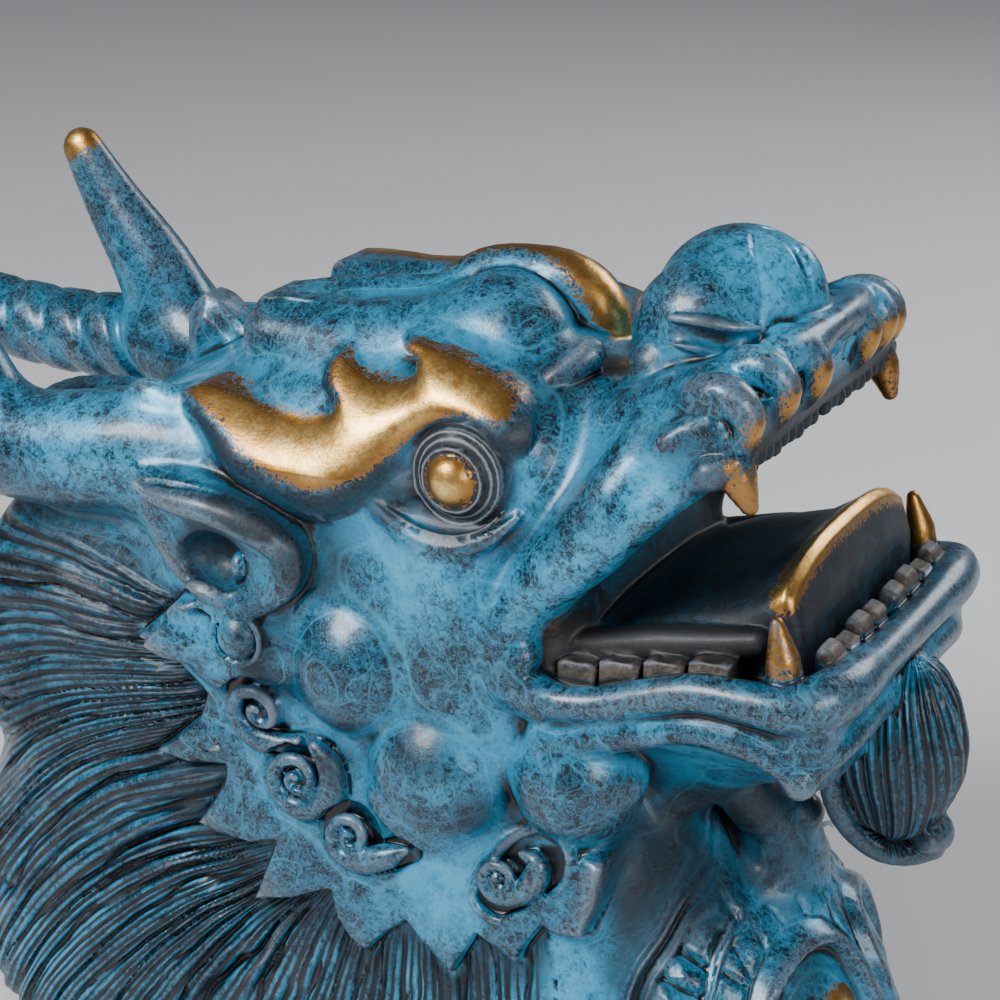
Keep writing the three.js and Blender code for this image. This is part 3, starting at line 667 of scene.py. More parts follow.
roll([(-4, -2.6, 31), (-16, -4.4, 31), (-28, -4.6, 27), (-36, -3, 17), (-50, -2, 12)],
     [3.2, 3.0, 3.4, 3.4, 3.4], 3.0)
roll([(13.0, -19.0, 22.4), (17.2, -16.6, 26.0), (20.9, -13.4, 29.6)], [2.3, 2.6, 2.5], 0.5, 1.2)
roll([(-52, 0, -2), (-66, 0, 2.5), (-80, 0, 2.5), (-88, 0, -1)], [8, 7, 5, 2], 2.0)
furrow([(-57.8, -36.4, 9.4), (-53.8, -36.0, 5.6), (-49.0, -35.4, 3.4)], [0.6, 1.5, 0.6], 1.6)


# Throat and chest: a shield whose rim stands over a groove, tiles in bands, and an arch
roll([(44, -6, -36), (47, -2, -42), (47.6, 0, -52)], [4.0, 4.6, 6.0], 4.0)
add(ball((50.6, 0, -39.6), (2.6, 3.0, 2.6)), 1.4)


rim = curve([(0, -36.4), (9, -37.0), (14.5, -38.6), (18.0, -41.6), (21.7, -44.9), (31.2, -48.1),
             (35.9, -52.1), (40.3, -56.5), (43, -64), (45.4, -78), (47, -99)], 30)
bandLine = curve([(0, -49.4), (9.4, -50.0), (13.9, -50.7), (20.3, -51.7), (25.8, -53.9), (29.1, -59.3),
                  (31.6, -68), (33.4, -82), (34.6, -99)], 30)
archLine = curve([(0.2, -99), (0.2, -80), (0.2, -62), (1.6, -57), (4.6, -54.3), (8.1, -53.5), (13.5, -54.1),
                  (19.0, -56.8), (22.4, -60.4), (25, -68), (27, -80), (28, -99)], 40)
hollowLine = [(9.6, -41.6), (11.4, -45.8), (15.6, -48.6)]
shield = np.vstack([rim, [(-9, -99), (-9, -36.4)]])
banded = np.vstack([bandLine, [(-9, -99), (-9, -49.4)]])


def groove(apart, width, depth):
    return -depth * np.exp(-(apart / width) ** 2)


# How far the nearest of the evenly repeated places lies
def repeated(run, pitch, offset):
    return np.abs(((run - offset) / pitch + 0.5) % 1 - 0.5) * pitch


def shieldRelief(u, z):
    inside = -outlineAway(shield, u, z)
    inArch = -outlineAway(archLine, u, z)
    band, run = lineAway(bandLine, u, z)
    outer = outlineAway(banded, u, z) > 0
    relief = 1.5 * smooth(inside, -0.3, 0.5) + groove(inside - 1.9, 1.0, 1.5)
    relief = relief + groove(band, 0.45, 0.7) + groove(lineAway(hollowLine, u, z)[0], 1.5, 1.2)
    relief = relief + np.where(outer, 0, groove(band - 1.4, 0.45, 0.6))
    relief = relief + groove(inArch, 0.6, 0.8) + 1.1 * smooth(inArch, 0.4, 1.4)
    relief = relief - 2.4 * smooth(inArch, 2.6, 4.2)
    cross = np.minimum(repeated(run, 13.0, 20.8), repeated(run, 13.0, 30.2))
    cross = np.where(outer, np.where(run > 19, cross, 9), repeated(run, 5.4, 18.4))
    tiled = np.where(outer, inside > 3.8, (inArch < -0.6) & (band > 1.4))
    edge = np.minimum(np.minimum(cross, band), inside - 4.4)
    panel = 0.6 * smooth(edge, 0.9, 1.4) * outer * (run > 19)
    return relief + tiled * (groove(cross, 0.45, 0.8) + panel) + outer * groove(inside - 4.2, 0.45, 0.6)


cut = window((26, -42, -99), (76, 2, -34))
cx, cy, cz = places(cut)
# The shield is drawn unrolled, round an upright axis
chestAxisX, chestRadius = 24, 35
around = chestRadius * np.arctan2(-cy, cx - chestAxisX)
held = smooth(np.hypot(cx - chestAxisX, cy), 12, 18) * smooth(-cz, 37, 41)
held = held * (0.4 + 0.6 * smooth(-cz, 42, 51))
field[cut] -= shieldRelief(around + 0 * cz, cz + 0 * around) * held
# Where the throat meets the shield its sharp folds are evened out
fold = smooth(cz, -60, -53) * smooth(cy, -20, -14) * smooth(cx, 36, 41)
field[cut] += fold * (evened(field[cut], 0.5) - field[cut])
add(ball((57.2, -8.0, -67.6), (4.4, 4.8, 5.4)), 0.8)


# Beard: a bulb with grooves that run to its knot, a lower lock and a curled tip
def ridged(shape, relief):
    return [(low, high, lambda x, y, z, away=away: away(x, y, z) - relief(x, y, z))
            for low, high, away in shape]


def beardTurn(x, y, z):
    return np.arctan2(y, x - 63.6 - 0.06 * (z + 40)) + 0.02 * (z + 25)


def beardGrooves(x, y, z):
    return 0.7 * np.abs(np.sin(beardTurn(x, y, z) * 10)) * smooth(z, -41, -37) - 0.35


beard = [(61.0, 0, -14), (64.0, 0, -19.5), (65.0, 0, -26), (65.0, 0, -33.5), (64.8, 0, -40)]
add(ridged(tube(beard, [4.6, 8.2, 9.2, 6.8, 1.8]), beardGrooves), 0.6)
roll([(57.0, -5.2, -23), (56.2, -4.6, -30), (57.0, -3.6, -35.6), (59.6, -2.4, -40.0),
      (63.2, -1.2, -42.6), (67.2, -0.4, -42.6), (70.4, 0, -41.2)], [0.8, 1.9, 2.1, 2.1, 2.0, 1.9, 1.6],
     0.5, 1.5)
add(ball((69.9, 0, -38.6), (3.3, 3.4, 3.3)), 0.25)
roll([(68.2, -3.0, -36.8), (70.6, -3.2, -37.4), (71.2, -2.8, -39.6), (69.4, -3.0, -40.4)],
     [0.5, 0.7, 0.7, 0.4], 0.15, 1.0)
say("horns, crown, beard and chest")


# Mane: strands fan out from under the leaves. Each guide is one strand's X and Z from root to
# tip, and a strand's number is its place between the guides.
guides = [
    [(-26, -13), (-36.3, -11.8), (-47.7, -7.6), (-58.5, -4.7), (-69.8, -3.8), (-92, -4)],
    [(-28, -19), (-40.4, -20.7), (-52.3, -21.5), (-63.6, -22.2), (-71.5, -24.1), (-92, -32)],
    [(-25, -25), (-37.1, -28.3), (-51.1, -32.1), (-62.9, -37.3), (-73.3, -44.8), (-90, -60)],
    [(-24, -31), (-42.2, -36.9), (-53.7, -42.1), (-63.8, -49.7), (-74.7, -61.2), (-88, -80)],
    [(-19, -45), (-32.8, -50.8), (-45.1, -55.6), (-59.2, -66.3), (-70, -78.4), (-84, -100)],
    [(-17, -50), (-31.4, -59.1), (-39.9, -64), (-52, -74.3), (-64.7, -88.1), (-74, -104)],
    [(-14, -52), (-26, -61.1), (-32.7, -67.3), (-42.6, -79), (-50, -91), (-58, -108)],
    [(-10, -52), (-15, -60), (-18.5, -67.7), (-22, -76), (-27, -88), (-33, -108)],
    [(-2, -52), (-3, -60), (-4, -68), (-5.4, -76), (-7.5, -88), (-10, -108)],
    [(8, -50), (9, -58), (10, -66), (11, -75), (12, -86), (13, -108)],
    [(22, -46), (24, -54), (25.5, -62), (27, -72), (28.6, -84), (31, -108)],
]
mapStep = 0.25
mapLow = (-92.0, -100.0)
mapSize = (500, 404)
stops, drawnStrands, drawnSteps = 40, 2600, 900
tracks = np.array([curve(g, stops) for g in guides])
between = np.linspace(0, len(guides) - 1, drawnStrands)
strandLines = np.empty((len(between), stops, 2))
for column in range(stops):
    for axis in range(2):
        strandLines[:, column, axis] = np.interp(between, np.arange(len(guides)), tracks[:, column, axis])
# Tables of X and Z: a strand's number, and how far along the strand from root to tip
strandMap = np.full(mapSize, -1.0, np.float32)
alongMap = np.zeros(mapSize, np.float32)
for part in np.linspace(0, stops - 1, drawnSteps):
    column = min(int(part), stops - 2)
    share = part - column
    spot = strandLines[:, column] * (1 - share) + strandLines[:, column + 1] * share
    i = ((spot[:, 0] - mapLow[0]) / mapStep).astype(int)
    j = ((spot[:, 1] - mapLow[1]) / mapStep).astype(int)
    held = (i >= 0) & (j >= 0) & (i < mapSize[0]) & (j < mapSize[1])
    strandMap[i[held], j[held]] = between[held]
    alongMap[i[held], j[held]] = part / (stops - 1)


def onMap(table, x, z):
    i = np.clip((x - mapLow[0]) / mapStep, 0, mapSize[0] - 2.001)
    j = np.clip((z - mapLow[1]) / mapStep, 0, mapSize[1] - 2.001)
    a, b = i.astype(int), j.astype(int)
    u, v = i - a, j - b
    return (table[a, b] * (1 - u) * (1 - v) + table[a + 1, b] * u * (1 - v)
            + table[a, b + 1] * (1 - u) * v + table[a + 1, b + 1] * u * v)


# Smooth pseudo-random wobble of one or two numbers
def wobble(a, b=0.0, seed=0.0):
    return (np.sin(a * 1.7 + seed) + np.sin(a * 2.9 + b * 1.3 + seed * 2.1)
            + np.sin(a * 4.7 - b * 2.3 + seed * 3.7)) / 3


def maneMask(x, z):
    strand = onMap(strandMap, x, z)
    along = onMap(alongMap, x, z)
    return smooth(strand, 0.02, 0.2) * smooth(along, 0.04, 0.16) * smooth(-strand, -10, -9.8)


def maneRelief(x, z):
    strand = onMap(strandMap, x, z)
    along = onMap(alongMap, x, z)
    phase = 3.1 * strand + 0.5 * wobble(strand * 1.9, along * 4) + 0.14 * wobble(along * 9, strand)
    bundle = np.abs(np.sin(math.pi * phase)) ** 0.6
    level = 0.8 + 0.45 * wobble(np.floor(phase) * 2.7, along * 3, 4.0)
    finer = np.abs(np.sin(math.pi * (2.6 * phase + 0.3 * wobble(along * 5, strand))))
    lock = 0.9 * np.abs(np.sin(math.pi * (0.95 * strand + 0.3 * wobble(along * 3, strand))))
    outside = smooth(outlineAway(collar, x, z), 0.0, 1.2)
    return (2.3 * bundle * level + lock + 0.5 * finer - 1.9) * maneMask(x, z) * outside


emboss(maneRelief, (-92, -100), (32, 0), -24.0)
say("mane")

# The flat underside, and a last row beyond the middle plane that mirrors the one before it
field = np.maximum(field, (undersideZ - gridZ)[None, None, :])
field[:, -1, :] = field[:, -2, :]


# Values of a grid at loose points, read between its samples
def sample(grid, points):
    spots = []
    for axis, line in enumerate((gridX, gridY, gridZ)):
        spot = (points[:, axis] - line[0]) / voxel
        spots.append(np.clip(spot, 0, len(line) - 1.001))
    i = [s.astype(np.int64) for s in spots]
    u = [s - k for s, k in zip(spots, i)]
    total = 0
    for dx in (0, 1):
        for dy in (0, 1):
            for dz in (0, 1):
                weight = ((u[0] if dx else 1 - u[0]) * (u[1] if dy else 1 - u[1])
                          * (u[2] if dz else 1 - u[2]))
                total = total + weight * grid[i[0] + dx, i[1] + dy, i[2] + dz]
    return total


def slopeAt(points, reach):
    slope = np.empty_like(points)
    for axis in range(3):
        step = np.zeros(3)
        step[axis] = reach
        slope[:, axis] = sample(field, points + step) - sample(field, points - step)
    return slope / np.maximum(np.linalg.norm(slope, axis=1, keepdims=True), 1e-9)


# Surface nets: one vertex in each cell that the surface crosses, one face for each crossed edge
def skin():
    inside = field < 0
    corners = [(i, j, k) for i in (0, 1) for j in (0, 1) for k in (0, 1)]
    views = [inside[i:inside.shape[0] - 1 + i, j:inside.shape[1] - 1 + j, k:inside.shape[2] - 1 + k]
             for i, j, k in corners]
    everyIn = np.logical_and.reduce(views)
    anyIn = np.logical_or.reduce(views)
    crossed = anyIn & ~everyIn
    cells = np.argwhere(crossed)
    number = np.full(crossed.shape, -1, np.int32)
    number[crossed] = np.arange(len(cells))
    total = np.zeros((len(cells), 3))
    hits = np.zeros(len(cells))
    for axis in range(3):
        others = [a for a in range(3) if a != axis]
        for p in (0, 1):
            for q in (0, 1):
                start = cells.copy()
                start[:, others[0]] += p
                start[:, others[1]] += q
                stop = start.copy()
                stop[:, axis] += 1
                a = field[tuple(start.T)]
                b = field[tuple(stop.T)]
                hit = (a < 0) != (b < 0)
                share = np.where(hit, a / np.where(hit, a - b, 1), 0)
                spot = (start - cells).astype(float)
                spot[:, axis] += share
                total += spot * hit[:, None]
                hits += hit
    corner = np.array([gridX[0], gridY[0], gridZ[0]])
    points = corner + (cells + total / hits[:, None]) * voxel
    faces = []
    for axis in range(3):
        others = [(axis + 1) % 3, (axis + 2) % 3]
        low = [slice(None)] * 3
        high = [slice(None)] * 3
        low[axis] = slice(0, -1)
        high[axis] = slice(1, None)
        change = inside[tuple(low)] != inside[tuple(high)]
        edges = np.argwhere(change)
        held = (edges[:, others[0]] > 0) & (edges[:, others[1]] > 0)
        held &= (edges[:, others[0]] < crossed.shape[others[0]])
        held &= (edges[:, others[1]] < crossed.shape[others[1]])
        edges = edges[held]
        outward = inside[tuple(edges.T)]
        ring = []
        for p, q in ((-1, -1), (0, -1), (0, 0), (-1, 0)):
            cell = edges.copy()
            cell[:, others[0]] += p
            cell[:, others[1]] += q
            ring.append(number[tuple(cell.T)])
        quad = np.stack(ring, 1)
        faces.append(np.where(outward[:, None], quad, quad[:, ::-1]))
    return points, np.vstack(faces)


points, faces = skin()
# The last row of cells holds the middle plane
middle = points[:, 1] > -voxel * 0.51
points[middle, 1] = 0.0
say(f"skin of {len(points)} points")


def meshFrom(name, points, faces):
    mesh = bpy.data.meshes.new(name)
    count = len(faces)
    size = faces.shape[1]
    mesh.vertices.add(len(points))
    mesh.vertices.foreach_set("co", points.astype(np.float32).ravel())
    mesh.loops.add(count * size)
    mesh.loops.foreach_set("vertex_index", faces.astype(np.int32).ravel())
    mesh.polygons.add(count)
    mesh.polygons.foreach_set("loop_start", np.arange(0, count * size, size, dtype=np.int32))
    mesh.update(calc_edges=True)
    mesh.validate()
    return mesh


# A copy of the half thinned to a number of triangles
def thinned(points, faces, target):
    mesh = meshFrom("half", points, faces)
    work = bpy.data.objects.new("half", mesh)
    bpy.context.scene.collection.objects.link(work)
    fewer = work.modifiers.new("fewer", "DECIMATE")
    fewer.ratio = min(target / (2 * len(faces)), 1.0)
    fewer.use_collapse_triangulate = True
    bpy.context.view_layer.update()
    done = work.evaluated_get(bpy.context.evaluated_depsgraph_get()).to_mesh()
    done.calc_loop_triangles()
    spots = np.empty(len(done.vertices) * 3)
    done.vertices.foreach_get("co", spots)
    corners = np.empty(len(done.loop_triangles) * 3, np.int32)
    done.loop_triangles.foreach_get("vertices", corners)
    bpy.data.objects.remove(work)
    return spots.reshape(-1, 3), corners.reshape(-1, 3)


# One half thinned, its open border pulled back to the middle plane
target = 196000
borderDepth = 1.5
nearSpots, nearCorners = thinned(points, faces, target / 2)
edges = np.sort(np.vstack([nearCorners[:, [0, 1]], nearCorners[:, [1, 2]], nearCorners[:, [2, 0]]]), 1)
pairs, uses = np.unique(edges, axis=0, return_counts=True)
border = np.unique(pairs[uses == 1])
border = border[nearSpots[border, 1] > -borderDepth]
nearSpots[border, 1] = 0.0
say(f"thinned to {len(nearCorners)} triangles a side")


# How full the surroundings of each grid point are: over half in hollows, under half at edges
def blurred(size):
    soft = np.clip(0.5 - field / (2 * voxel), 0, 1).astype(np.float32)
    half = max(int(round(size / voxel / 2)), 1)
    return averaged(soft, half, (0, 1, 2), ("edge", "symmetric", "edge"))


normals = slopeAt(nearSpots, 0.6 * voxel)
hollowFine = sample(blurred(2.0), nearSpots) - 0.5
hollowBroad = sample(blurred(6.0), nearSpots) - 0.5
say("hollows")

def spotAway(place):
    return np.linalg.norm(nearSpots - np.array(place), axis=1)


# Gilding: how far inside a gilded area each vertex lies, in mm
x, y, z = nearSpots[:, 0], nearSpots[:, 1], nearSpots[:, 2]
ungilt = -6.0
giltParts = [np.full(len(nearSpots), ungilt)]
gild = giltParts.append
gild(np.where(y < -20, 0.4 - outlineAway(browGold, x, z), ungilt))
gild(np.where(y < -32, 3.9 - np.hypot(x - eyeX, z - eyeZ), ungilt))
lidAway = np.abs(awayFrom(lowerLid, nearSpots))
gild(np.where(z < 8.4, -0.5 - 0.3 * np.maximum(np.abs(x - 5.6) - 3.5, 0) - lidAway, ungilt))
for fang, start in ((upperFang, (48.0, 23.0)), (lowerFang, (56.6, -6.4))):
    reach = z - start[1] if fang is lowerFang else start[1] - z
    gild(np.minimum(0.8 - awayFrom(fang, nearSpots), reach * 0.5))
for lobeY, lobeZ, lobeX in lobes:
    gild(2.3 - np.hypot(np.hypot(x - lobeX - 1.4, (y - lobeY) * 0.8), (z - lobeZ + 1.4) * 0.8))
gild(1.5 - spotAway((49.6, -30, 23.2)))
gild(0.9 - spotAway((27.6, -15.4, 29.4)) * 0.5)
gild(0.3 - spotAway((7.5, -16.1, 32.0)) * 0.42)
edgeY = 5.0 * (1 - np.minimum((np.abs(y) / 23) ** 3, 1))
gild(np.where(y > -23.5, 2.6 - np.hypot((x - 54.4) * 0.8, z - 2.6 - edgeY), ungilt))
gild(np.where(awayFrom(crest, nearSpots) < 1.0, 1.4 + 0.16 * np.maximum(x - 4, 0) + y * 0.75
              - 0.5 * np.maximum(29 - z, 0), ungilt))
gild(np.where(z > 30, 5.0 - np.hypot(np.hypot(x + 94.5, y + 26.5), z - 40.5), ungilt))
gild(np.where(z > 18, 4.0 - np.hypot(np.hypot(x + 136, y + 24.5), z - 30), ungilt))
ridgeLine = curve([(-32, -15, 31.6), (-22, -14.6, 33.0), (-12, -13, 34.6), (-5, -9, 37.2)], 24)
ridgeAway = np.min([spotAway(p) for p in ridgeLine], axis=0)
# The ridge's gold shows on the far half only, and the medallion's on the near half only
giltFar = np.maximum(np.max(giltParts, axis=0), 3.6 - ridgeAway)
gild(np.where(x > 46, 4.6 - spotAway((60.4, -8.2, -67.0)), ungilt))
gilt = np.max(giltParts, axis=0)
strand = onMap(strandMap, x, z)
hair = np.where(y < -20, maneMask(x, z) * smooth(outlineAway(collar, x, z), 0, 1.5), 0)
# The beard's grooves count round its own axis, evenly on both sides of the middle plane
onBeard = smooth(-awayFrom(tube(beard, [5.6, 9.2, 10.2, 8.0, 3.8]), nearSpots), -0.6, 0.6)
onBeard *= smooth(-z, 11, 15)
hair = np.maximum(hair, onBeard)
hairPitch = 60.0
strand = np.where(onBeard > 0.02, (beardTurn(x, y, z) * 40 + math.pi / 2) / hairPitch, strand)

# Painted shade, near black where shadow falls: inside the mouth, under the brow, the shadow the leaves cast
# on the mane, and in round spots, each with its centre, size and share
inMouth = (smooth(-palateHeight(x, z), -4.5, -1.5) * smooth(z, -14, -11.5) * smooth(y, -28.6, -26.8)
           * smooth(x, 14, 18) * (1 - smooth(x, 57.5, 59)))
belly = np.where(y < -24, smooth(-outlineAway(browBody, x, z), -0.5, 0.5)
                 * smooth(outlineAway(browGold, x, z), 0, 1.5), 0)
paintedShade = np.maximum(inMouth, 0.9 * belly)
# Painted shadow of the leaves on the mane just outside the collar
underLeaves = np.where((y < -22) & (strand > 0.02) & (z < -8), outlineAway(collar, x, z), 99)
paintedShade = np.maximum(paintedShade, 0.9 * smooth(underLeaves, 0.2, 0.8) * (1 - smooth(underLeaves, 1.5, 8)))
for centre, size, share in (
        ((8.6, -33, 15.4), 11.5, 0.95), ((-0.5, -33, 12.5), 7, 0.95), ((-27.5, -34, -1), 8, 0.95),
        ((-12.5, -33, -0.5), 7, 0.8), ((-21, -38, -19.8), 5.5, 0.85), ((-16, -33, 7), 6, 0.7),
        ((37, -22, -50), 9, 0.85), ((36, -27, -57), 6, 0.8), ((46.9, -8.8, -46.4), 4, 0.8),
        ((-60, -30, -16), 18, 0.6), ((-70, -30, -34), 16, 0.4), ((55, -10, -60), 5, 0.5),
        ((39, -17, 35.6), 4.5, 0.6), ((31, -16, 28.5), 6, 0.5), ((38, -20, -43), 14, 0.9),
        ((44, -10, -34), 12, 0.9), ((64, 0, -28), 14, 0.35), ((64, 0, -38), 12, 0.5),
        ((45, -30, 23), 6, 0.45), ((47, -6, -43), 10, 0.7), ((40, -17, -47), 10, 0.8),
        ((6, -36, -24), 6, 0.5), ((17, -36, -36), 7, 0.7), ((-8, -37, -30), 7, 0.8),
        ((18, -20, 27), 7, 0.5), ((56, -26, -14), 5, 0.4),
        ((-48, -26, -12), 9, 0.6), ((-20, -36, -12), 6, 0.6), ((50, -6, -50), 6, 0.5)):
    paintedShade = np.maximum(paintedShade, share * (1 - smooth(spotAway(centre), 0.55 * size, 1.1 * size)))
paintedShade *= smooth(spotAway(earLump), 2.0, 3.6)
# Painted shade in the hollow tops of the molars
for molarX in molars:
    apart = spotAway((molarX, -28.2, -7.4 + 0.2 * (molarX - 27.5)))
    paintedShade = np.maximum(paintedShade, 0.95 * (1 - smooth(apart, 1.8, 3.0)))
# Teeth of bone colour
lowerRow = ((y > -30) & (y < -23) & (z > -14) & (z < -2.6 + 0.2 * (x - 27.5)) & (x > 20) & (x < 53))
frontRow = (x > 58.4) & (x < 62.6) & (z > -5.0) & (z < 0) & (y > -24)
upperRow = (x > 46.5) & (z > 18.5) & (z < 21.6) & (y > -26)
bone = (lowerRow | frontRow | upperRow).astype(float)
iris = np.where(y < -26, 1 - smooth(np.hypot(x - eyeX, z - eyeZ), 7.4, 8.6), 0.0)
# Where the wash is brightest, and where it is nearly missing. Where it is brightest a bright cyan is also
# painted on as light falling there.
washAndLight = np.zeros(len(nearSpots))
for centre, size, share in (
        ((46, -4, 43), 10, 1.0), ((49, -16, 36), 7, 0.9), ((5, -34, 2), 9, 0.7), ((26, -32, 1), 9, 0.7),
        ((39, -31, 17), 9, 0.6), ((-55, -33, 12), 9, 0.6), ((-42, -29, 20), 7, 0.9),
        ((-45, -34, 7), 6, 0.5), ((8, -32, -50), 8, 0.7), ((26, -30, -62), 10, 0.9),
        ((-74, -29, -84), 15, 0.6), ((18, -30, 15), 5, 0.8), ((32, -32, 8), 6, 0.6),
        ((-30, -34, -14), 9, 0.5), ((22, -13, 27), 9, -1.0), ((43, -29, 31), 5, -0.6),
        ((47, -33, -9), 9, -0.8), ((55, -31, -14), 8, -0.7), ((24, -32, -12), 5, -0.6),
        ((-66, -31, -4), 10, -0.5), ((-30, -28, -57), 8, -0.4), ((31, -20, 22), 6, -0.5)):
    washAndLight += share * (1 - smooth(spotAway(centre), 0.3 * size, 1.2 * size))
say("gilding")


# Both halves joined at the middle plane
def bothSides(values, flip=False):
    other = values.copy()
    if flip:
        other[:, 1] *= -1
    return np.concatenate([values, other[away]])


onPlane = np.zeros(len(nearSpots), bool)
onPlane[border] = True
away = ~onPlane
order = np.arange(len(nearSpots))
order[away] = len(nearSpots) + np.arange(away.sum())
allSpots = bothSides(nearSpots, True)
normals[onPlane, 1] = 0
allNormals = bothSides(normals, True)
allCorners = np.vstack([nearCorners, order[nearCorners][:, ::-1]])
placed = (allSpots + np.array(headToRow)) / 1000.0
mesh = meshFrom("guardianStatue", placed, allCorners)
mesh.polygons.foreach_set("use_smooth", np.ones(len(mesh.polygons), bool))
lengths = np.linalg.norm(allNormals, axis=1, keepdims=True)
mesh.normals_split_custom_set_from_vertices(allNormals / np.maximum(lengths, 1e-6))
layers = {"hollowFine": hollowFine, "hollowBroad": hollowBroad, "strand": strand, "hair": hair,
          "paintedShade": paintedShade, "bone": bone, "iris": iris, "washAndLight": washAndLight}
layers = {name: bothSides(values) for name, values in layers.items()}
layers["gilt"] = np.concatenate([gilt, giltFar[away]])
for name, values in layers.items():
    layer = mesh.attributes.new(name, "FLOAT", "POINT")
    layer.data.foreach_set("value", values.astype(np.float32))
statue = bpy.data.objects.new("guardianStatue", mesh)
bpy.context.scene.collection.objects.link(statue)
say("mesh")


# Finish: dark bronze under a blue wash with fibrous veins, and rubbed gilding
def makeFinish():
    material = bpy.data.materials.new("patinatedCopper")
    material.use_nodes = True
    tree = material.node_tree
    nodes, links = tree.nodes, tree.links
    shader = nodes["Principled BSDF"]

    def put(value, socket):
        if isinstance(value, bpy.types.NodeSocket):
            links.new(value, socket)
        else:
            socket.default_value = value

    def calc(operation, a, b=0.0, clamp=False):
        node = nodes.new("ShaderNodeMath")
        node.operation = operation
        node.use_clamp = clamp
        put(a, node.inputs[0])
        put(b, node.inputs[1])
        return node.outputs[0]

    def plus(a, b):
        return calc("ADD", a, b)

    def minus(a, b):
        return calc("SUBTRACT", a, b)

    def times(a, b, clamp=False):
        return calc("MULTIPLY", a, b, clamp)

    def larger(a, b):
        return calc("MAXIMUM", a, b)

    # How far a value is from a level
    def gapTo(value, level):
        return calc("ABSOLUTE", minus(value, level))

    def ramp(value, low, high):
        node = nodes.new("ShaderNodeMapRange")
        node.interpolation_type = "SMOOTHSTEP"
        put(value, node.inputs["Value"])
        node.inputs["From Min"].default_value = low
        node.inputs["From Max"].default_value = high
        return node.outputs["Result"]

    def mix(share, a, b):
        node = nodes.new("ShaderNodeMix")
        node.data_type = "RGBA"
        put(share, node.inputs[0])
        put(a, node.inputs[6])
        put(b, node.inputs[7])
        return node.outputs[2]

    def attribute(name):
        node = nodes.new("ShaderNodeAttribute")
        node.attribute_name = name
        return node.outputs["Fac"]

    def noise(scale, detail=4.0, roughness=0.6, distortion=0.0):
        node = nodes.new("ShaderNodeTexNoise")
        put(place, node.inputs["Vector"])
        node.inputs["Scale"].default_value = scale
        node.inputs["Detail"].default_value = detail
        node.inputs["Roughness"].default_value = roughness
        node.inputs["Distortion"].default_value = distortion
        return node.outputs["Fac"]

    # Thin bright lines where a noise passes its middle value
    def vein(scale, width, detail=3.0, distortion=0.6, roughness=0.55):
        value = noise(scale, detail, roughness, distortion)
        return minus(1.0, ramp(gapTo(value, 0.5), 0.0, width))

    place = nodes.new("ShaderNodeTexCoord").outputs["Object"]
    fine, broad = attribute("hollowFine"), attribute("hollowBroad")
    gilding, strand, hair = attribute("gilt"), attribute("strand"), attribute("hair")
    paintedShade, bone = attribute("paintedShade"), attribute("bone")
    iris, washAndLight = attribute("iris"), attribute("washAndLight")
    mottle = noise(330.0, 4.0, 0.70)
    cloud = noise(48.0, 3.0, 0.58, 0.5)
    speck = noise(1700.0, 3.0, 0.75)
    fibre = noise(700.0, 4.0, 0.6, 1.6)
    stipple = minus(plus(times(speck, 0.6), times(fibre, 0.4)), 0.5)

    # Where the wash lies: thick in shallow hollows and wearing thin on high spots, which also get a painted
    # grey sheen. Deep creases and broad pits are marked for painted shade. Every border breaks up into
    # grains.
    creaseShade = ramp(plus(fine, times(stipple, 0.14)), 0.04, 0.15)
    pitShade = ramp(plus(broad, times(stipple, 0.25)), 0.07, 0.22)
    # High spots: the wash wearing thin, and a painted grey sheen laid over them
    high = minus(times(stipple, 0.5), broad)
    high = ramp(plus(high, times(cloud, 0.25)), 0.20, 0.42)
    patch = plus(times(broad, 2.0), plus(times(cloud, 1.3), times(mottle, 0.6)))
    patch = plus(patch, times(washAndLight, 0.4))
    wash = ramp(plus(patch, times(stipple, 0.9)), 0.76, 1.28)
    # Pale tide lines round each swelling
    tide = gapTo(plus(broad, times(mottle, 0.02)), 0.045)
    tide = minus(1.0, ramp(tide, 0.0, 0.014))
    web = larger(times(vein(38.0, 0.008), 0.4), times(vein(95.0, 0.016), 0.5))
    thread = minus(1.0, ramp(gapTo(fibre, 0.5), 0.0, 0.05))
    web = larger(web, times(thread, 0.45))
    night = (0.0025, 0.0045, 0.008, 1)
    deep = (0.003, 0.011, 0.024, 1)
    teal = (0.006, 0.078, 0.150, 1)
    bright = (0.016, 0.270, 0.480, 1)
    pale = (0.090, 0.460, 0.690, 1)
    greyWearAndSheen = (0.150, 0.150, 0.170, 1)
    tone = plus(mottle, times(stipple, 1.1))
    colour = mix(ramp(tone, 0.38, 0.66), deep, teal)
    colour = mix(times(wash, 0.80), colour, bright)
    colour = mix(times(high, 0.6), colour, greyWearAndSheen)
    colour = mix(larger(times(web, 0.6), times(tide, 0.35)), colour, pale)
    # Painted light: a brighter cyan laid on the brightest spots
    lit = times(times(washAndLight, 0.75, True), ramp(tone, 0.36, 0.62))
    colour = mix(lit, colour, (0.050, 0.400, 0.660, 1))
    ivory = mix(ramp(tone, 0.3, 0.7), (0.022, 0.019, 0.017, 1), (0.095, 0.076, 0.060, 1))
    colour = mix(bone, colour, ivory)
    # Two waves of unlike pitch give strands of uneven width
    count = times(plus(strand, times(cloud, 0.06)), hairPitch)
    slow = calc("SINE", plus(times(count, 0.43), times(mottle, 1.5)))
    lines = plus(times(calc("SINE", count), 0.7), times(slow, 0.4))
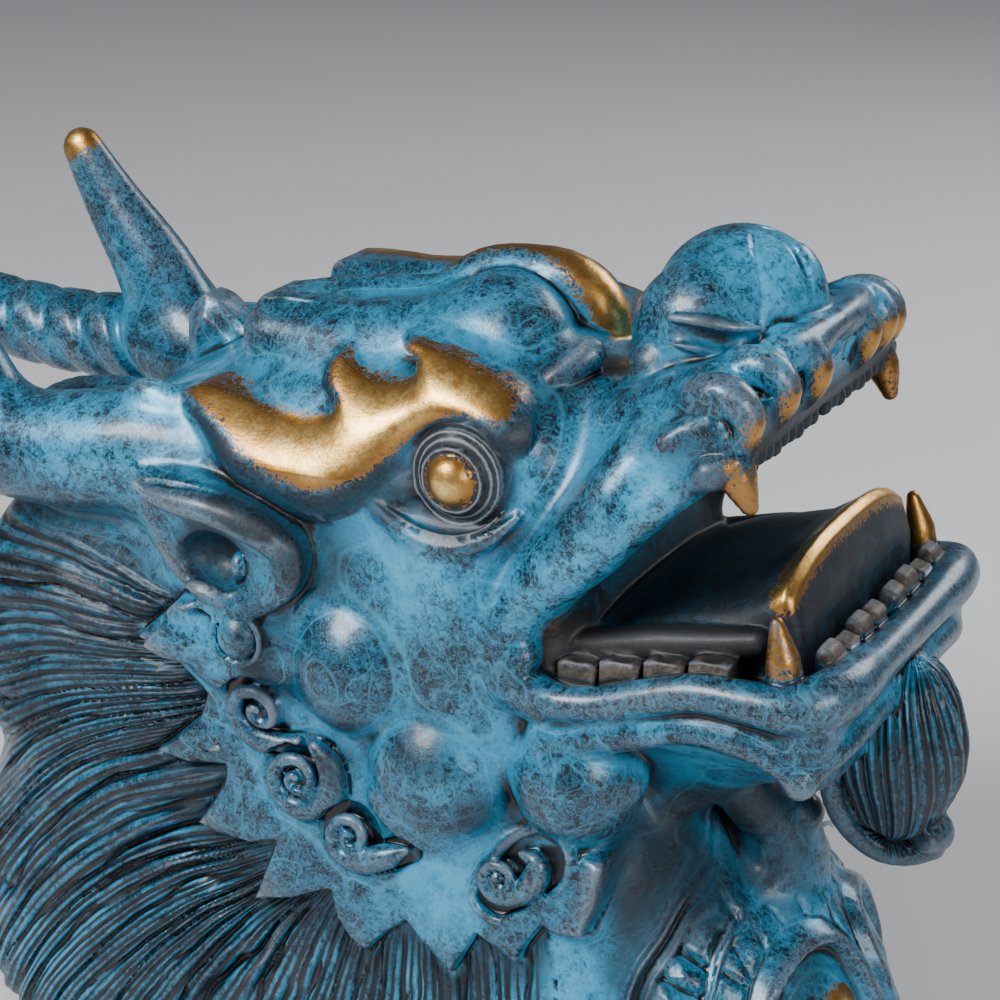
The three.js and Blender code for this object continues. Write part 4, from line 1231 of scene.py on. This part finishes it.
    # Painted shade: the grooves between strands, the painted-shade places, deep creases and broad pits go
    # towards near black
    shade = times(ramp(plus(lines, times(stipple, 1.0)), -0.35, 0.35), hair)
    patchy = times(shade, plus(0.55, times(cloud, 0.8)), True)
    clouded = plus(times(tone, 0.7), 0.55)
    shade = larger(patchy, times(paintedShade, clouded, True))
    shade = larger(shade, larger(creaseShade, times(pitShade, 0.85)))
    colour = mix(shade, colour, night)
    # Sharp convex edges lightened to a grey blue: partly wear, partly a painted highlight
    edgeWearAndSheen = ramp(minus(times(stipple, 0.15), fine), 0.12, 0.24)
    edgeWearAndSheen = times(edgeWearAndSheen, minus(0.5, times(paintedShade, 0.4)))
    colour = mix(edgeWearAndSheen, colour, (0.20, 0.25, 0.32, 1))
    # Fine bright rings round the pupil, between darker ones
    split = nodes.new("ShaderNodeSeparateXYZ")
    links.new(place, split.inputs["Vector"])
    across = minus(times(split.outputs["X"], 1000.0), headToRow[0] + eyeX)
    upwards = minus(times(split.outputs["Z"], 1000.0), headToRow[2] + eyeZ)
    reach = calc("SQRT", plus(times(across, across), times(upwards, upwards)))
    reach = plus(reach, times(stipple, 0.5))
    rings = 0.0
    for ringAt in (4.5, 5.6, 6.6):
        rings = larger(rings, minus(1.0, ramp(gapTo(reach, ringAt), 0.03, 0.26)))
    colour = mix(times(iris, 0.6), colour, night)
    colour = mix(times(times(rings, iris), 0.6), colour, (0.26, 0.29, 0.32, 1))

    # Gold, thinning to grains at its edge
    edge = plus(gilding, times(stipple, 7.0))
    edge = plus(edge, times(minus(cloud, 0.5), 1.5))
    gold = ramp(minus(edge, times(creaseShade, 3.0)), -0.1, 0.7)
    leaf = mix(ramp(tone, 0.3, 0.7), (0.56, 0.30, 0.07, 1), (0.88, 0.60, 0.22, 1))
    rubbed = mix(ramp(gilding, 0.3, 3.2), (0.36, 0.17, 0.035, 1), leaf)
    colour = mix(gold, colour, rubbed)
    links.new(colour, shader.inputs["Base Color"])
    dull = times(larger(paintedShade, bone), minus(1.0, gold))
    metal = plus(times(gold, 0.78), minus(0.22, times(dull, 0.15)))
    links.new(metal, shader.inputs["Metallic"])
    matt = plus(times(mottle, 0.14), times(dull, 0.2))
    links.new(plus(0.30, matt), shader.inputs["Roughness"])
    links.new(minus(0.3, times(dull, 0.25)), shader.inputs["Coat Weight"])
    shader.inputs["Coat Roughness"].default_value = 0.16

    # Brushed hair lines, and a fine cast grain
    height = minus(times(stipple, 0.2), times(times(lines, hair), 0.9))
    bump = nodes.new("ShaderNodeBump")
    bump.inputs["Distance"].default_value = 0.0004
    bump.inputs["Strength"].default_value = 0.8
    links.new(height, bump.inputs["Height"])
    links.new(bump.outputs["Normal"], shader.inputs["Normal"])
    return material


statue.data.materials.append(makeFinish())
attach(statue, "root")
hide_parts("guardian_bust")


# Stage: a plain pale floor, soft boxes and the photo's camera
def plainSurface(name, colour, roughness):
    material = bpy.data.materials.new(name)
    material.use_nodes = True
    shader = material.node_tree.nodes["Principled BSDF"]
    shader.inputs["Base Color"].default_value = colour
    shader.inputs["Roughness"].default_value = roughness
    return material


floorMesh = bpy.data.meshes.new("floor")
floorMesh.from_pydata([(-6, -6, 0), (6, -6, 0), (6, 6, 0), (-6, 6, 0)], [], [(0, 1, 2, 3)])
floor = bpy.data.objects.new("floor", floorMesh)
bpy.context.scene.collection.objects.link(floor)
floorMesh.materials.append(plainSurface("floorPaint", (0.72, 0.72, 0.73, 1), 0.6))

scene = bpy.context.scene
world = bpy.data.worlds.new("studio")
world.use_nodes = True
world.node_tree.nodes["Background"].inputs["Color"].default_value = (0.80, 0.84, 0.92, 1)
world.node_tree.nodes["Background"].inputs["Strength"].default_value = 0.18
scene.world = world
aim = Vector((0.03, 0.0, 0.085))


def softBox(name, spot, width, height, power, colour=(1, 1, 1)):
    lamp = bpy.data.lights.new(name, "AREA")
    lamp.shape = "RECTANGLE"
    lamp.size, lamp.size_y = width, height
    lamp.energy = power
    lamp.color = colour
    box = bpy.data.objects.new(name, lamp)
    box.location = spot
    box.rotation_euler = (aim - Vector(spot)).to_track_quat("-Z", "Y").to_euler()
    scene.collection.objects.link(box)


softBox("key", (-0.28, -0.55, 0.62), 0.36, 0.26, 9.0)
softBox("front", (0.62, -0.38, 0.36), 0.30, 0.30, 2.6)
softBox("rim", (0.30, 0.62, 0.52), 0.35, 0.35, 3.0)

azimuth, elevation, cameraAway = math.radians(27.7), math.radians(20.6), 0.385
ahead = Vector((-math.sin(azimuth) * math.cos(elevation), math.cos(azimuth) * math.cos(elevation),
                -math.sin(elevation)))
lens = bpy.data.cameras.new("camera")
lens.lens = 92.4
lens.sensor_width = 36
lens.clip_start = 0.01
camera = bpy.data.objects.new("camera", lens)
camera.location = Vector((0.032189, 0.0, 0.095)) - ahead * cameraAway
camera.rotation_euler = ahead.to_track_quat("-Z", "Y").to_euler()
scene.collection.objects.link(camera)
scene.camera = camera

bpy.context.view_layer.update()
say("stage")
